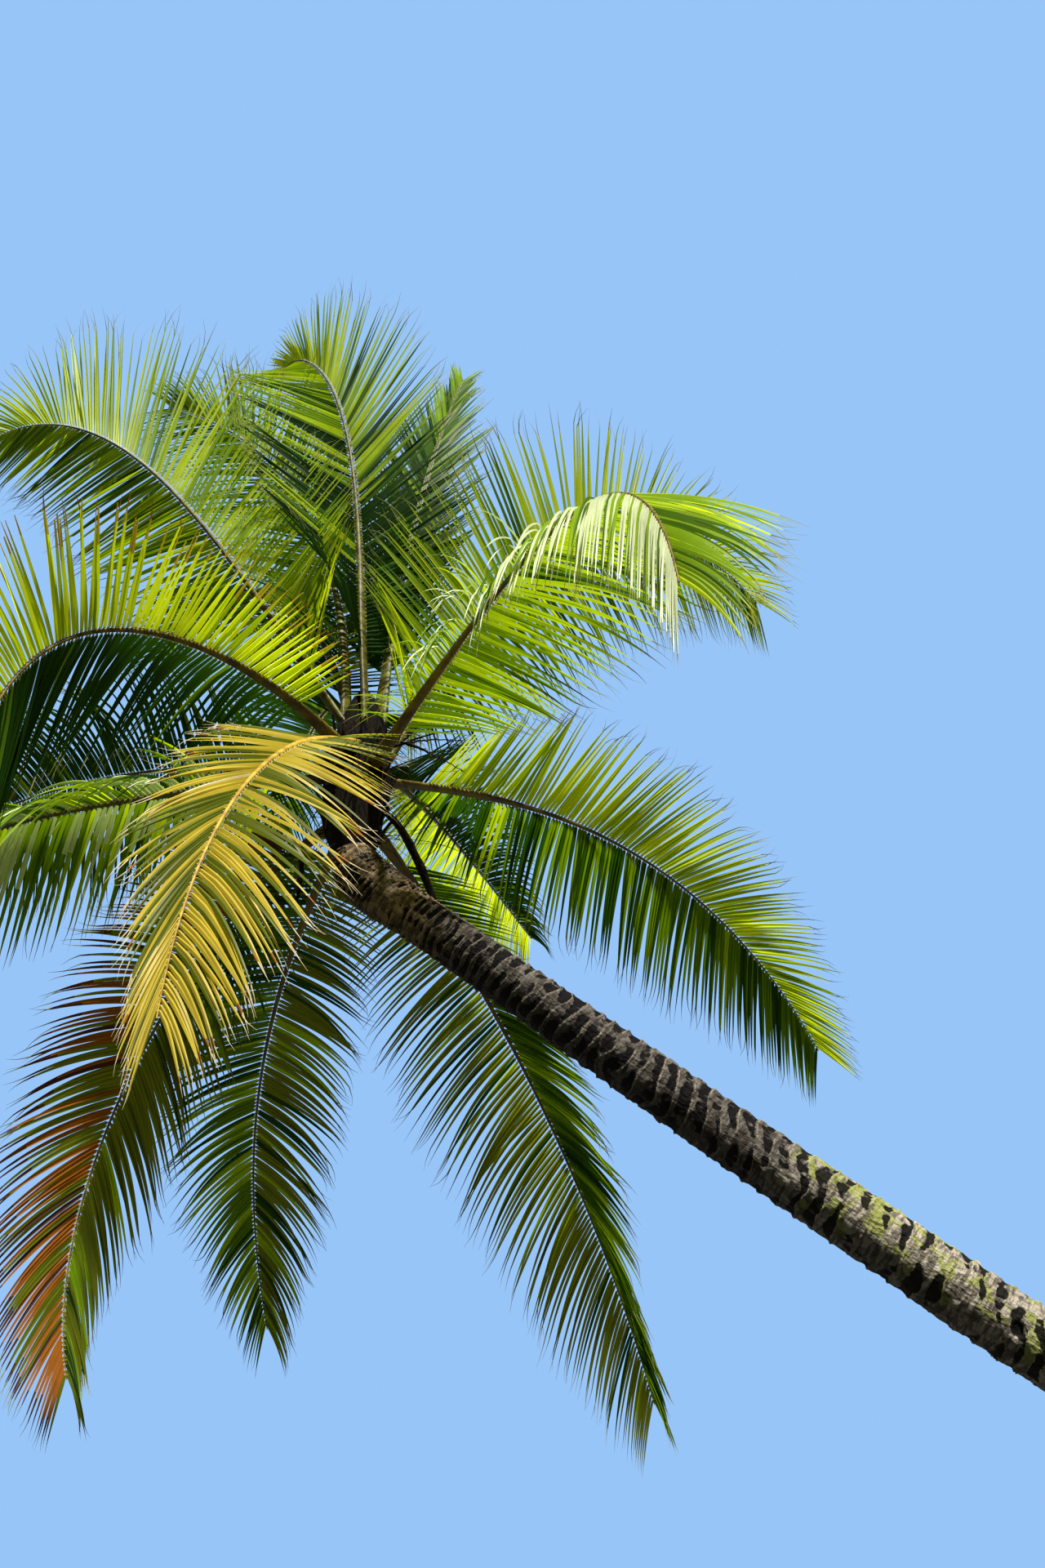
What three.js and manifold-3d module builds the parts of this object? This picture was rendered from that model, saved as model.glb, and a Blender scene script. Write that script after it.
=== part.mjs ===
// Coconut palm with a long leaning trunk, rooted in level ground at the origin.
// Millimetres, +Z up. The trunk leans towards -X and carries the crown on its raised end.

import * as THREE from "three";
import { mergeVertices } from "three/addons/utils/BufferGeometryUtils.js";
import Module from "manifold-3d";

const wasm = await Module();
wasm.setup();

// Trunk: slope above the horizontal and radius, each by the distance along the trunk
const TRUNK_LENGTH = 9400;
const TRUNK_SLOPE = [[0, 44], [1200, 35], [3500, 34], [6000, 37], [9000, 38], [9200, 42], [9400, 78]];
const TRUNK_RADIUS = [
  [0, 265], [150, 235], [400, 200], [900, 172], [1600, 157], [3500, 150],
  [5500, 146], [6900, 138], [8300, 124], [8900, 122], [9150, 136], [9300, 128], [9400, 104],
];
const TRUNK_STEP = 300;
const HEAD_STEP = 80;
const HEAD_START = 8800;
const TRUNK_SIDES = 16;
const FLARE_LENGTH = 700;
const PATH_STEP = 20;

// Heart of the crown: the fibrous column that the petioles clasp, as height and radius
const HEART_PROFILE = [[0, 92], [110, 135], [330, 160], [600, 148], [860, 112], [1000, 62], [1040, 30]];
const HEART_SIDES = 14;
const HEART_UPRIGHT_FROM = 330;

// Seat gap between pieces that touch, and the clearance that leaflets keep
const SEAT = 0.3;
const LEAFLET_CLEARANCE = 1;

// Fronds. Angles are in degrees. seat is the side of the heart that the base sits on, and base
// its height above the trunk's end. The rib sets out towards az and swings by sweep; it sets out
// at rise and comes down by droop, the later the larger late is. The blade rolls about the rib
// near its foot and twists further to the tip. right and left hold the leaflets' length as a
// share of the usual, how much wider their angle with the rib is, and the pull of gravity.
const FRONDS = [
  {
    name: "left_high", seat: 200, base: 800, length: 4250, right: [1.15, -6, 0.1], left: [1.4, -4, 0.1],
    az: 186, sweep: -42, rise: 58, droop: 60, late: 3.4, roll: 70, twist: 0,
  },
  {
    name: "left_crown", seat: 165, base: 900, length: 4050, right: [1.1, -10, 0.2], left: [1, -5, 0.3],
    az: 150, sweep: 2, rise: 87, droop: 49, late: 1, roll: -55, twist: -40,
  },
  {
    name: "top", seat: 280, base: 900, length: 4050, right: [1.15, -14, 0], left: [1.15, -12, 0.1],
    az: 173, sweep: -56, rise: 85, droop: 63, late: 3.3, roll: -55, twist: -30,
  },
  {
    name: "top_right", seat: 35, base: 900, length: 4050, right: [0.9, -30, 0.1], left: [0.9, -30, 0.1],
    az: 69, sweep: 3, rise: 84, droop: 17, late: 1, roll: 25, twist: 0,
  },
  {
    name: "right_front", seat: 310, base: 470, length: 4050, right: [0.9, -8, 2.2], left: [1, 4, 0.5],
    az: 298, sweep: -18, rise: 5, droop: 82, late: 1.75, roll: -55, twist: 65,
  },
  {
    name: "right_high", seat: 352, base: 450, length: 4100, right: [1.15, 5, 0.15], left: [1, 0, 0.6],
    az: 14, sweep: 30, rise: 68, droop: 94, late: 2.4, roll: -65, twist: 0,
  },
  {
    name: "right", seat: 40, base: 500, length: 4050, right: [0.95, -2, 0.1], left: [1, 0, 0.6],
    az: 43, sweep: 2, rise: 21, droop: 68, late: 1.6, roll: -45, twist: 0,
  },
  {
    name: "back_right", seat: 75, base: 650, length: 4050, right: [0.85, -5, 0.4], left: [0.95, 0, 0.6],
    az: 83, sweep: -16, rise: 28, droop: 32, late: 1.4, roll: -40, twist: 0,
  },
  {
    name: "behind_trunk", seat: 55, base: 240, length: 4050, right: [0.8, -30, 0.4], left: [1.05, 4, 0.6],
    az: 65, sweep: -15, rise: -6, droop: 59, late: 1, roll: -30, twist: 0,
  },
  {
    name: "lower_back", seat: 98, base: 370, length: 3950, right: [0.9, -4, 0.4], left: [0.9, -4, 0.4],
    az: 116, sweep: -35, rise: -17, droop: 25, late: 1.5, roll: 0, twist: 0,
  },
  {
    name: "lower_left", seat: 145, base: 240, length: 4050, right: [0.9, -12, 0.5], left: [1, -2, 0.4],
    az: 127, sweep: 18, rise: 10, droop: 125, late: 1.2, roll: 30, twist: 0,
  },
  {
    name: "yellow_front", seat: 268, base: 620, length: 2850, right: [0.9, -35, 0.3], left: [0.85, 22, 1],
    az: 252, sweep: -2, rise: -26, droop: 62, late: 1, roll: -25, twist: -15,
  },
  {
    name: "left_front", seat: 225, base: 600, length: 3950, right: [1.05, 10, 2.2], left: [0.75, 30, 0.1],
    az: 230, sweep: 42, rise: 20, droop: 140, late: 1, roll: -20, twist: 150,
  },
  {
    name: "left_low", seat: 190, base: 470, length: 3650, right: [1, 0, 2.2], left: [1, 0, 2.2],
    az: 185, sweep: -10, rise: -10, droop: 70, late: 2.5, roll: 15, twist: 0,
  },
  {
    name: "left_back", seat: 155, base: 570, length: 4050, right: [1, 0, 0.9], left: [0.95, 0, 0.6],
    az: 150, sweep: -10, rise: 21, droop: 29, late: 1.8, roll: 50, twist: 0,
  },
  {
    name: "back", seat: 95, base: 780, length: 3950, right: [0.95, 0, 0.4], left: [0.95, 0, 0.4],
    az: 108, sweep: 0, rise: 52, droop: 70, late: 1.4, roll: 15, twist: 0,
  },
  {
    name: "back_high", seat: 125, base: 850, length: 3950, right: [0.95, 0, 0.3], left: [0.95, 0, 0.3],
    az: 130, sweep: 0, rise: 68, droop: 76, late: 1.6, roll: -30, twist: 0,
  },
];
const RIB_HALF_WIDTH = [[-0.1, 60], [0, 48], [0.1, 28], [0.3, 14], [0.5, 9], [1, 3]];
const RIB_HALF_DEPTH = [[-0.1, 26], [0, 24], [0.1, 17], [0.5, 8], [1, 3]];
const HEART_REACH = 100;
const SHEATH_LENGTH = 300;
const SWEEP_POWER = 1.5;
const ROLL_RUN = 0.3;
const WIDE_BEND = 60;

// Leaflets of the solid crown, each standing for a spray of the real ones
const LEAFLET_PITCH = 205;
const FIRST_LEAFLET = 380;
const LEAFLET_LENGTH = 840;
const LEAFLET_WIDTH = 118;
const LEAFLET_ROOT = 42;
const LEAFLET_THICKNESS = 11;
const LEAFLET_BELLY = 0.42;
const LEAFLET_ANGLE = [[0, 74], [0.5, 58], [1, 26]];
const CLOSEST_ANGLE = 12;
const SAG_AT_FOOT = 0.4;
const SAG_GROWTH = 1.2;
const SIZE_AT_FOOT = 0.6;
const SIZE_SWELL = 1.75;
const SIZE_LOST_AT_TIP = 0.12;
const LEAFLET_RISE = 14;
const SHRINK_TRIES = [1, 0.8, 0.6, 0.4];

// Dead pieces in the crown: a hanging bract beside the trunk, a strip on a petiole, and the
// stalk of an old flower, all placed from the trunk's end
const BRACT_POINTS = [[110, 60, 330], [220, 120, 230], [335, 172, 10], [415, 212, -190], [440, 226, -300]];
const BRACT_WIDTH = 58;
const BRACT_THICKNESS = 16;
const BRACT_SECTIONS = 7;
const STRIP_CARRIER = "lower_left";
const STRIP_RUN = 400;
const STRIP_LENGTH = 360;
const STRIP_WIDTH = 34;
const STRIP_THICKNESS = 8;
const STRIP_SECTIONS = 4;
const STALK_POINTS = [[40, -20, 560], [150, -60, 620], [250, -80, 650]];
const STALK_RADIUS = 13;
const STALK_SECTIONS = 4;
const TWIG_COUNT = 7;
const TWIG_LENGTH = 340;
const TWIG_RADIUS = 7;
const TWIG_SPREAD = 110;
const TWIG_SWING = 20;
const TWIG_DROOP = 35;
const TWIG_SECTIONS = 3;

// Dead blades are narrower at the root than in the middle, as shares of their width
const BLADE_ROOT_WIDTH = 0.55;
const BLADE_SWELL = 1.6;

const BARK = { color: 0x6b6257, roughness: 0.95, metalness: 0 };
const FIBRE = { color: 0x3a2c1d, roughness: 1, metalness: 0 };
const DEAD_BRACT = { color: 0x231d18, roughness: 0.9, metalness: 0 };
const GREEN_LEAF = { color: 0x6f8c1e, roughness: 0.45, metalness: 0 };
const YELLOW_LEAF = { color: 0xcdb640, roughness: 0.55, metalness: 0 };
const BROWN_LEAF = { color: 0xa8671c, roughness: 0.7, metalness: 0 };
const FROND_FINISH = { yellow_front: YELLOW_LEAF, lower_left: BROWN_LEAF };

const UP = new THREE.Vector3(0, 0, 1);
const ALONG_X = new THREE.Vector3(1, 0, 0);
const ALONG_Y = new THREE.Vector3(0, 1, 0);
const radians = THREE.MathUtils.degToRad;

/** Value at a place between stations, along straight lines between them. */
function between(stations, place) {
  let [before, value] = stations[0];
  if (place <= before) return value;
  for (const [after, next] of stations.slice(1)) {
    if (place <= after) return value + ((next - value) * (place - before)) / (after - before);
    before = after;
    value = next;
  }
  return value;
}

/** Closed faceted body built up from rings of points, with its faces turned outwards. */
class Shell {
  constructor() {
    this.points = [];
    this.faces = [];
  }

  ring(vectors) {
    return vectors.map((vector) => this.points.push(vector) - 1);
  }

  quad(a, b, c, d) {
    this.faces.push([a, b, c], [a, c, d]);
  }

  /** Walls from one ring to the next ring outwards. */
  bridge(near, far) {
    near.forEach((corner, index) => {
      const next = (index + 1) % near.length;
      this.quad(corner, near[next], far[next], far[index]);
    });
  }

  /** Point that closes a ring outwards. */
  taper(ring, tip) {
    const [end] = this.ring([tip]);
    ring.forEach((corner, index) => this.faces.push([corner, ring[(index + 1) % ring.length], end]));
  }

  /** Flat end on a ring; the ring runs counterclockwise as seen from outside. */
  cap(ring) {
    for (let index = 1; index < ring.length - 1; index += 1) {
      this.faces.push([ring[0], ring[index], ring[index + 1]]);
    }
  }

  solid() {
    const vertProperties = new Float32Array(this.points.flatMap((point) => point.toArray()));
    const triVerts = new Uint32Array(this.faces.flat());
    return new wasm.Manifold(new wasm.Mesh({ numProp: 3, vertProperties, triVerts }));
  }
}

/** Solid of a three.js geometry whose seams are merged first. */
function solidOf(geometry) {
  geometry.deleteAttribute("normal");
  geometry.deleteAttribute("uv");
  const merged = mergeVertices(geometry);
  const vertProperties = new Float32Array(merged.attributes.position.array);
  const triVerts = new Uint32Array(merged.index.array);
  return new wasm.Manifold(new wasm.Mesh({ numProp: 3, vertProperties, triVerts }));
}

function meshOf(name, solid, finish) {
  const { vertProperties, triVerts } = solid.getMesh();
  const geometry = new THREE.BufferGeometry();
  geometry.setAttribute("position", new THREE.BufferAttribute(vertProperties, 3));
  geometry.setIndex(new THREE.BufferAttribute(triVerts, 1));
  geometry.computeVertexNormals();
  const mesh = new THREE.Mesh(geometry, new THREE.MeshStandardMaterial(finish));
  mesh.name = name;
  return mesh;
}

/** Largest of the bodies that a cut leaves. */
function mainBody(solid) {
  return solid.decompose().reduce((best, body) => (body.volume() > best.volume() ? body : best));
}

/** Middle line of the trunk, from the ground up, with its direction at each place. */
function trunkLine() {
  const line = [];
  const place = new THREE.Vector3();
  for (let run = 0; run <= TRUNK_LENGTH; run += PATH_STEP) {
    const slope = radians(between(TRUNK_SLOPE, run));
    line.push({ run, place: place.clone(), along: new THREE.Vector3(-Math.cos(slope), 0, Math.sin(slope)) });
    const ahead = radians(between(TRUNK_SLOPE, run + PATH_STEP / 2));
    place.add(new THREE.Vector3(-Math.cos(ahead), 0, Math.sin(ahead)).multiplyScalar(PATH_STEP));
  }
  return line;
}

const TRUNK_LINE = trunkLine();
const CROWN_FOOT = TRUNK_LINE[TRUNK_LINE.length - 1].place;
const CROWN_TILT = TRUNK_LINE[TRUNK_LINE.length - 1].along;

/** Trunk from the flat cut at the ground, over the root flare, to its rounded head. */
function buildTrunk() {
  const shell = new Shell();
  const rings = [];
  const lastHead = TRUNK_LENGTH - HEAD_STEP / 2;
  for (let run = 0; run < lastHead; run += run < HEAD_START ? TRUNK_STEP : HEAD_STEP) rings.push(run);
  rings.push(TRUNK_LENGTH);
  const loops = rings.map((run) => {
    const { place, along } = TRUNK_LINE[Math.round(run / PATH_STEP)];
    const facing = UP.clone().lerp(along, Math.min(1, run / FLARE_LENGTH)).normalize();
    const side = new THREE.Vector3().crossVectors(facing, ALONG_Y).normalize();
    const radius = between(TRUNK_RADIUS, run);
    const stretch = 1 / facing.dot(along);
    const loop = [];
    for (let index = 0; index < TRUNK_SIDES; index += 1) {
      const turn = (2 * Math.PI * index) / TRUNK_SIDES;
      const point = place.clone().addScaledVector(ALONG_Y, -radius * Math.sin(turn));
      loop.push(point.addScaledVector(side, radius * stretch * Math.cos(turn)));
    }
    return shell.ring(loop);
  });
  loops.slice(1).forEach((loop, index) => shell.bridge(loops[index], loop));
  shell.cap(loops[loops.length - 1]);
  shell.cap([...loops[0]].reverse());
  return shell.solid();
}

/** Fibrous heart, seated on the trunk's end; grown by a gap where it cuts its neighbours. */
function buildHeart(growth) {
  const profile = [new THREE.Vector2(0, -growth)];
  HEART_PROFILE.forEach(([height, radius]) => profile.push(new THREE.Vector2(radius + growth, height)));
  profile.push(new THREE.Vector2(0, HEART_PROFILE[HEART_PROFILE.length - 1][0] + growth));
  const geometry = new THREE.LatheGeometry(profile, HEART_SIDES);
  geometry.rotateX(Math.PI / 2);
  const lean = new THREE.Quaternion().setFromUnitVectors(UP, CROWN_TILT);
  const seat = CROWN_FOOT.clone().addScaledVector(CROWN_TILT, SEAT);
  const positions = geometry.attributes.position;
  for (let index = 0; index < positions.count; index += 1) {
    const point = new THREE.Vector3().fromBufferAttribute(positions, index);
    const upright = Math.min(1, Math.max(0, point.z / HEART_UPRIGHT_FROM));
    const tilt = lean.clone().slerp(new THREE.Quaternion(), upright);
    point.applyQuaternion(tilt).add(seat);
    positions.setXYZ(index, point.x, point.y, point.z);
  }
  return solidOf(geometry);
}

/** Direction of a frond's rib and the sides of its blade, at a fraction of its length. */
function ribFrame(frond, fraction) {
  const part = Math.max(0, fraction);
  const rise = radians(frond.rise - frond.droop * part ** frond.late);
  const az = radians(frond.az + frond.sweep * part ** SWEEP_POWER);
  const level = Math.cos(rise);
  const along = new THREE.Vector3(level * Math.cos(az), level * Math.sin(az), Math.sin(rise));
  const roll = radians(frond.roll * THREE.MathUtils.smoothstep(part, 0, ROLL_RUN) + frond.twist * part);
  const side = new THREE.Vector3(Math.sin(az), -Math.cos(az), 0).applyAxisAngle(along, roll);
  return { along, side, face: new THREE.Vector3().crossVectors(side, along) };
}

/** Rib's middle line as evenly spaced points, from its base on the heart to its tip. */
function ribLine(frond) {
  const seat = radians(frond.seat);
  const start = new THREE.Vector3(Math.cos(seat), Math.sin(seat), 0).multiplyScalar(HEART_REACH);
  start.add(CROWN_FOOT).addScaledVector(UP, frond.base);
  const points = [start];
  const count = Math.round(frond.length / PATH_STEP);
  for (let index = 0; index < count; index += 1) {
    const { along } = ribFrame(frond, (index + 0.5) / count);
    points.push(points[index].clone().addScaledVector(along, frond.length / count));
  }
  return points;
}

/** Place on the rib by distance; before its base it runs straight back into the heart. */
function ribPoint(frond, line, run) {
  if (run < 0) return line[0].clone().addScaledVector(ribFrame(frond, 0).along, run);
  const place = (run / frond.length) * (line.length - 1);
  const index = Math.min(line.length - 2, Math.floor(place));
  return line[index].clone().lerp(line[index + 1], place - index);
}

/** Four corners of the rib: outer top, inner top, inner bottom, outer bottom. */
function ribCorners(frond, line, run, growth = 0) {
  const fraction = run / frond.length;
  const { side, face } = ribFrame(frond, fraction);
  const middle = ribPoint(frond, line, run);
  const width = between(RIB_HALF_WIDTH, fraction) + growth;
  const depth = between(RIB_HALF_DEPTH, fraction) + growth;
  return [[1, 1], [-1, 1], [-1, -1], [1, -1]].map(([right, top]) =>
    middle.clone().addScaledVector(side, right * width).addScaledVector(face, top * depth));
}

/** How far back a rib reaches into the heart. */
function rootRun(frond) {
  return -Math.min(SHEATH_LENGTH, HEART_REACH / Math.cos(radians(frond.rise)));
}

/** Places of the leaflet roots along a rib. */
function leafletRuns(frond) {
  const last = frond.length - LEAFLET_PITCH / 2;
  const count = Math.round((last - FIRST_LEAFLET) / LEAFLET_PITCH);
  const pitch = (last - FIRST_LEAFLET) / count;
  return Array.from({ length: count + 1 }, (_, index) => FIRST_LEAFLET + index * pitch);
}

/** Place where a widely bent frond is parted: midway between two leaflets near its middle. */
function bendRun(frond) {
  const runs = leafletRuns(frond);
  const after = Math.round(runs.length / 2);
  return (runs[after - 1] + LEAFLET_ROOT + runs[after]) / 2;
}

/** Length of a leaflet as a share of the longest, by its place along the blade. */
function leafletSize(fraction) {
  return SIZE_AT_FOOT + SIZE_SWELL * fraction * (1 - fraction) - SIZE_LOST_AT_TIP * fraction ** 4;
}

/** Corners and tip of one leaflet that grows out of a side of the rib. */
function leafletShape(frond, root, run, hand, shrink) {
  const fraction = (run - FIRST_LEAFLET) / (frond.length - FIRST_LEAFLET);
  const { along, side, face } = ribFrame(frond, run / frond.length);
  const [reach, swing, sag] = hand > 0 ? frond.right : frond.left;
  const size = leafletSize(fraction);
  const length = LEAFLET_LENGTH * size * reach * shrink;
  const angle = radians(Math.max(CLOSEST_ANGLE, between(LEAFLET_ANGLE, fraction) + swing));
  const out = side.clone().multiplyScalar(hand).applyAxisAngle(along, -hand * radians(LEAFLET_RISE));
  const heading = along.clone().multiplyScalar(Math.cos(angle)).addScaledVector(out, Math.sin(angle));
  const broad = along.clone().addScaledVector(heading, -along.dot(heading)).normalize();
  const thick = face.clone().addScaledVector(heading, -face.dot(heading));
  thick.addScaledVector(broad, -face.dot(broad)).normalize().multiplyScalar(LEAFLET_THICKNESS / 2);
  const wide = broad.multiplyScalar((LEAFLET_WIDTH / 2) * (0.5 + 0.5 * size));
  const belly = root.clone().addScaledVector(heading, length * LEAFLET_BELLY);
  const pull = sag * (SAG_AT_FOOT + SAG_GROWTH * fraction);
  const drooped = heading.clone().addScaledVector(UP, -pull).normalize();
  const tip = belly.clone().addScaledVector(drooped, length * (1 - LEAFLET_BELLY));
  const corner = (ahead, top) => belly.clone().addScaledVector(wide, ahead).addScaledVector(thick, top);
  const corners = [corner(-1, -1), corner(1, -1), corner(1, 1), corner(-1, 1)];
  return { corners: hand > 0 ? corners : [corners[3], corners[2], corners[1], corners[0]], tip };
}

/** Pieces already placed, which a new leaflet has to clear. */
class Crowd {
  constructor() {
    this.members = [];
  }

  add(solid, owner) {
    const { min, max } = solid.boundingBox();
    this.members.push({ solid, owner, min, max });
  }

  clears(solid, owner) {
    const { min, max } = solid.boundingBox();
    return this.members.every((member) => {
      if (member.owner === owner) return true;
      const apart = [0, 1, 2].some((axis) =>
        min[axis] > member.max[axis] + LEAFLET_CLEARANCE || max[axis] < member.min[axis] - LEAFLET_CLEARANCE);
      return apart || solid.minGap(member.solid, LEAFLET_CLEARANCE) >= LEAFLET_CLEARANCE;
    });
  }
}

/** Places of all the rib's rings, from its root in the heart to the last leaflet. */
function ribRuns(frond) {
  const leaflets = leafletRuns(frond).flatMap((run) => [run, run + LEAFLET_ROOT]);
  return [rootRun(frond), 0, FIRST_LEAFLET / 2, ...leaflets];
}

/** Top and bottom of the rib between two rings of its corners, and its sides where they are bare. */
function ribWalls(shell, near, far, sides) {
  shell.quad(near[0], far[0], far[1], near[1]);
  shell.quad(near[2], far[2], far[3], near[3]);
  if (sides) {
    shell.quad(near[1], far[1], far[2], near[2]);
    shell.quad(near[3], far[3], far[0], near[0]);
  }
}

/** Bare rib as a solid of its own, used to keep leaflets and ribs apart. */
function bareRib(frond, line, growth = 0) {
  const shell = new Shell();
  const rings = ribRuns(frond).map((run) => shell.ring(ribCorners(frond, line, run, growth)));
  shell.cap(rings[0]);
  rings.slice(1).forEach((ring, index) => ribWalls(shell, rings[index], ring, true));
  shell.taper([...rings[rings.length - 1]].reverse(), line[line.length - 1]);
  return shell.solid();
}

/** Root loops of the leaflets on the two sides of a rib, between two rings of its corners. */
function rootLoops(near, far) {
  return [
    { hand: 1, loop: [near[3], far[3], far[0], near[0]] },
    { hand: -1, loop: [near[1], far[1], far[2], near[2]] },
  ];
}

/** Leaflet as a closed solid of its own, for the clearance test. */
function leafletSolid(corners, shape) {
  const shell = new Shell();
  const root = shell.ring(corners);
  const belly = shell.ring(shape.corners);
  shell.cap([...root].reverse());
  shell.bridge(root, belly);
  shell.taper(belly, shape.tip);
  return shell.solid();
}

/** Leaflet at its full size, or the largest smaller one that clears the crowd, or none. */
function fittingLeaflet(frond, corners, run, hand, crowd) {
  const root = corners.reduce((sum, corner) => sum.add(corner), new THREE.Vector3()).multiplyScalar(0.25);
  for (const shrink of SHRINK_TRIES) {
    const shape = leafletShape(frond, root, run, hand, shrink);
    const solid = leafletSolid(corners, shape);
    if (crowd.clears(solid, `${frond.name}_rib`)) {
      crowd.add(solid, frond.name);
      return shape;
    }
  }
  return null;
}

/** One stretch of a frond: the rib with the leaflets that grow out of its sides. */
function buildStretch(frond, line, from, to, crowd) {
  const shell = new Shell();
  const atTip = to >= frond.length;
  const ringAt = (run) => shell.ring(ribCorners(frond, line, run));
  let ring = ringAt(from);
  shell.cap(ring);
  const advance = (next, sides) => {
    ribWalls(shell, ring, next, sides);
    ring = next;
  };
  if (from < 0) [0, FIRST_LEAFLET / 2].forEach((run) => advance(ringAt(run), true));
  for (const run of leafletRuns(frond)) {
    const end = run + LEAFLET_ROOT;
    if (run <= from || end >= to) continue;
    advance(ringAt(run), true);
    const near = ring;
    const far = ringAt(end);
    advance(far, false);
    for (const { hand, loop } of rootLoops(near, far)) {
      const corners = loop.map((index) => shell.points[index]);
      const shape = fittingLeaflet(frond, corners, run, hand, crowd);
      if (shape) {
        const belly = shell.ring(shape.corners);
        shell.bridge(loop, belly);
        shell.taper(belly, shape.tip);
      } else {
        shell.quad(...loop);
      }
    }
  }
  if (atTip) {
    shell.taper([...ring].reverse(), line[line.length - 1]);
  } else {
    advance(ringAt(to), true);
    shell.cap([...ring].reverse());
  }
  return shell.solid();
}

/** Tapering blade with four corners along a smooth line, broad across a given direction. */
function taperingBlade(points, across, width, thickness, sections) {
  const curve = new THREE.CatmullRomCurve3(points);
  const shell = new Shell();
  const rings = [];
  for (let index = 0; index < sections; index += 1) {
    const fraction = index / sections;
    const middle = curve.getPoint(fraction);
    const along = curve.getTangent(fraction);
    const face = new THREE.Vector3().crossVectors(across, along).normalize();
    const broad = new THREE.Vector3().crossVectors(along, face).normalize();
    const halfWidth = (width / 2) * (BLADE_ROOT_WIDTH + BLADE_SWELL * fraction * (1 - fraction));
    const halfThickness = (thickness / 2) * (1 - fraction / 2);
    rings.push(shell.ring([[-1, 1], [1, 1], [1, -1], [-1, -1]].map(([right, top]) =>
      middle.clone().addScaledVector(broad, right * halfWidth).addScaledVector(face, top * halfThickness))));
  }
  shell.cap([...rings[0]].reverse());
  rings.slice(1).forEach((ring, index) => shell.bridge(rings[index], ring));
  shell.taper(rings[rings.length - 1], curve.getPoint(1));
  return shell.solid();
}

function fromFoot([x, y, z]) {
  return CROWN_FOOT.clone().add(new THREE.Vector3(x, y, z));
}

/** Dead stalk of an old flower: a short stem that ends in a fan of stiff twigs. */
function buildFlowerStalk() {
  const stem = STALK_POINTS.map(fromFoot);
  const [, fork, end] = stem;
  const stemTip = end.clone().lerp(fork, -0.5);
  let stalk = taperingBlade([...stem, stemTip], UP, 2 * STALK_RADIUS, 2 * STALK_RADIUS, STALK_SECTIONS);
  const outwards = end.clone().sub(fork).normalize();
  for (let index = 0; index < TWIG_COUNT; index += 1) {
    const tilt = radians((index / (TWIG_COUNT - 1) - 0.5) * TWIG_SPREAD);
    const swing = radians(index % 2 ? TWIG_SWING : -TWIG_SWING);
    const heading = outwards.clone().applyAxisAngle(ALONG_Y, tilt).applyAxisAngle(UP, swing);
    const root = fork.clone().lerp(end, (TWIG_COUNT + index) / (2 * TWIG_COUNT));
    const middle = root.clone().addScaledVector(heading, TWIG_LENGTH / 2);
    const tip = root.clone().addScaledVector(heading, TWIG_LENGTH).addScaledVector(UP, -TWIG_DROOP);
    const twig = taperingBlade([root, middle, tip], UP, 2 * TWIG_RADIUS, 2 * TWIG_RADIUS, TWIG_SECTIONS);
    stalk = stalk.add(twig);
  }
  return stalk;
}

/** Dead bract that hangs beside the trunk. */
function buildBract() {
  return taperingBlade(BRACT_POINTS.map(fromFoot), ALONG_Y, BRACT_WIDTH, BRACT_THICKNESS, BRACT_SECTIONS);
}

/** Dead strip that hangs from the underside of a petiole. */
function buildStrip(frond, line) {
  const top = ribPoint(frond, line, STRIP_RUN);
  const points = [0, 0.5, 1].map((part) => top.clone().addScaledVector(UP, -part * STRIP_LENGTH));
  return taperingBlade(points, ALONG_X, STRIP_WIDTH, STRIP_THICKNESS, STRIP_SECTIONS);
}

const group = new THREE.Group();
const crowd = new Crowd();

const trunk = buildTrunk();
crowd.add(trunk, "trunk");
group.add(meshOf("trunk", trunk, BARK));

const heart = buildHeart(0);
const heartSpace = buildHeart(SEAT);
crowd.add(heart, "crown_heart");
group.add(meshOf("crown_heart", heart, FIBRE));

const lines = FRONDS.map(ribLine);
FRONDS.forEach((frond, index) => crowd.add(bareRib(frond, lines[index]), `${frond.name}_rib`));
const petioleSpaces = FRONDS.map((frond, index) => bareRib(frond, lines[index], SEAT));
const crownSpace = petioleSpaces.reduce((sum, space) => sum.add(space), heartSpace);
const carrier = FRONDS.findIndex((frond) => frond.name === STRIP_CARRIER);
const deadPieces = {
  dead_bract: buildBract(),
  dead_strip: buildStrip(FRONDS[carrier], lines[carrier]),
  old_flower_stalk: buildFlowerStalk(),
};
for (const [name, whole] of Object.entries(deadPieces)) {
  const piece = mainBody(whole.subtract(crownSpace));
  crowd.add(piece, name);
  group.add(meshOf(name, piece, DEAD_BRACT));
}

FRONDS.forEach((frond, index) => {
  const finish = FROND_FINISH[frond.name] ?? GREEN_LEAF;
  const split = frond.droop >= WIDE_BEND;
  const bend = bendRun(frond);
  const inner = buildStretch(frond, lines[index], rootRun(frond), split ? bend : frond.length, crowd);
  const taken = petioleSpaces.slice(0, index).reduce((sum, space) => sum.add(space), heartSpace);
  const seated = mainBody(inner.subtract(taken));
  group.add(meshOf(`frond_${frond.name}${split ? "_inner" : ""}`, seated, finish));
  if (split) {
    const outer = buildStretch(frond, lines[index], bend + SEAT, frond.length, crowd);
    group.add(meshOf(`frond_${frond.name}_outer`, outer, finish));
  }
});

export default group;
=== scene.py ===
"""Coconut palm with a long leaning trunk and a crown of arching fronds.

Metres, +Z up. The trunk stands in level ground at the origin and leans towards -X. The fronds
grow by the same rule as the plain solids that they replace, with finer leaflets.
"""

from __future__ import annotations

import logging
from collections.abc import Sequence
from dataclasses import dataclass
from enum import Enum

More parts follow.
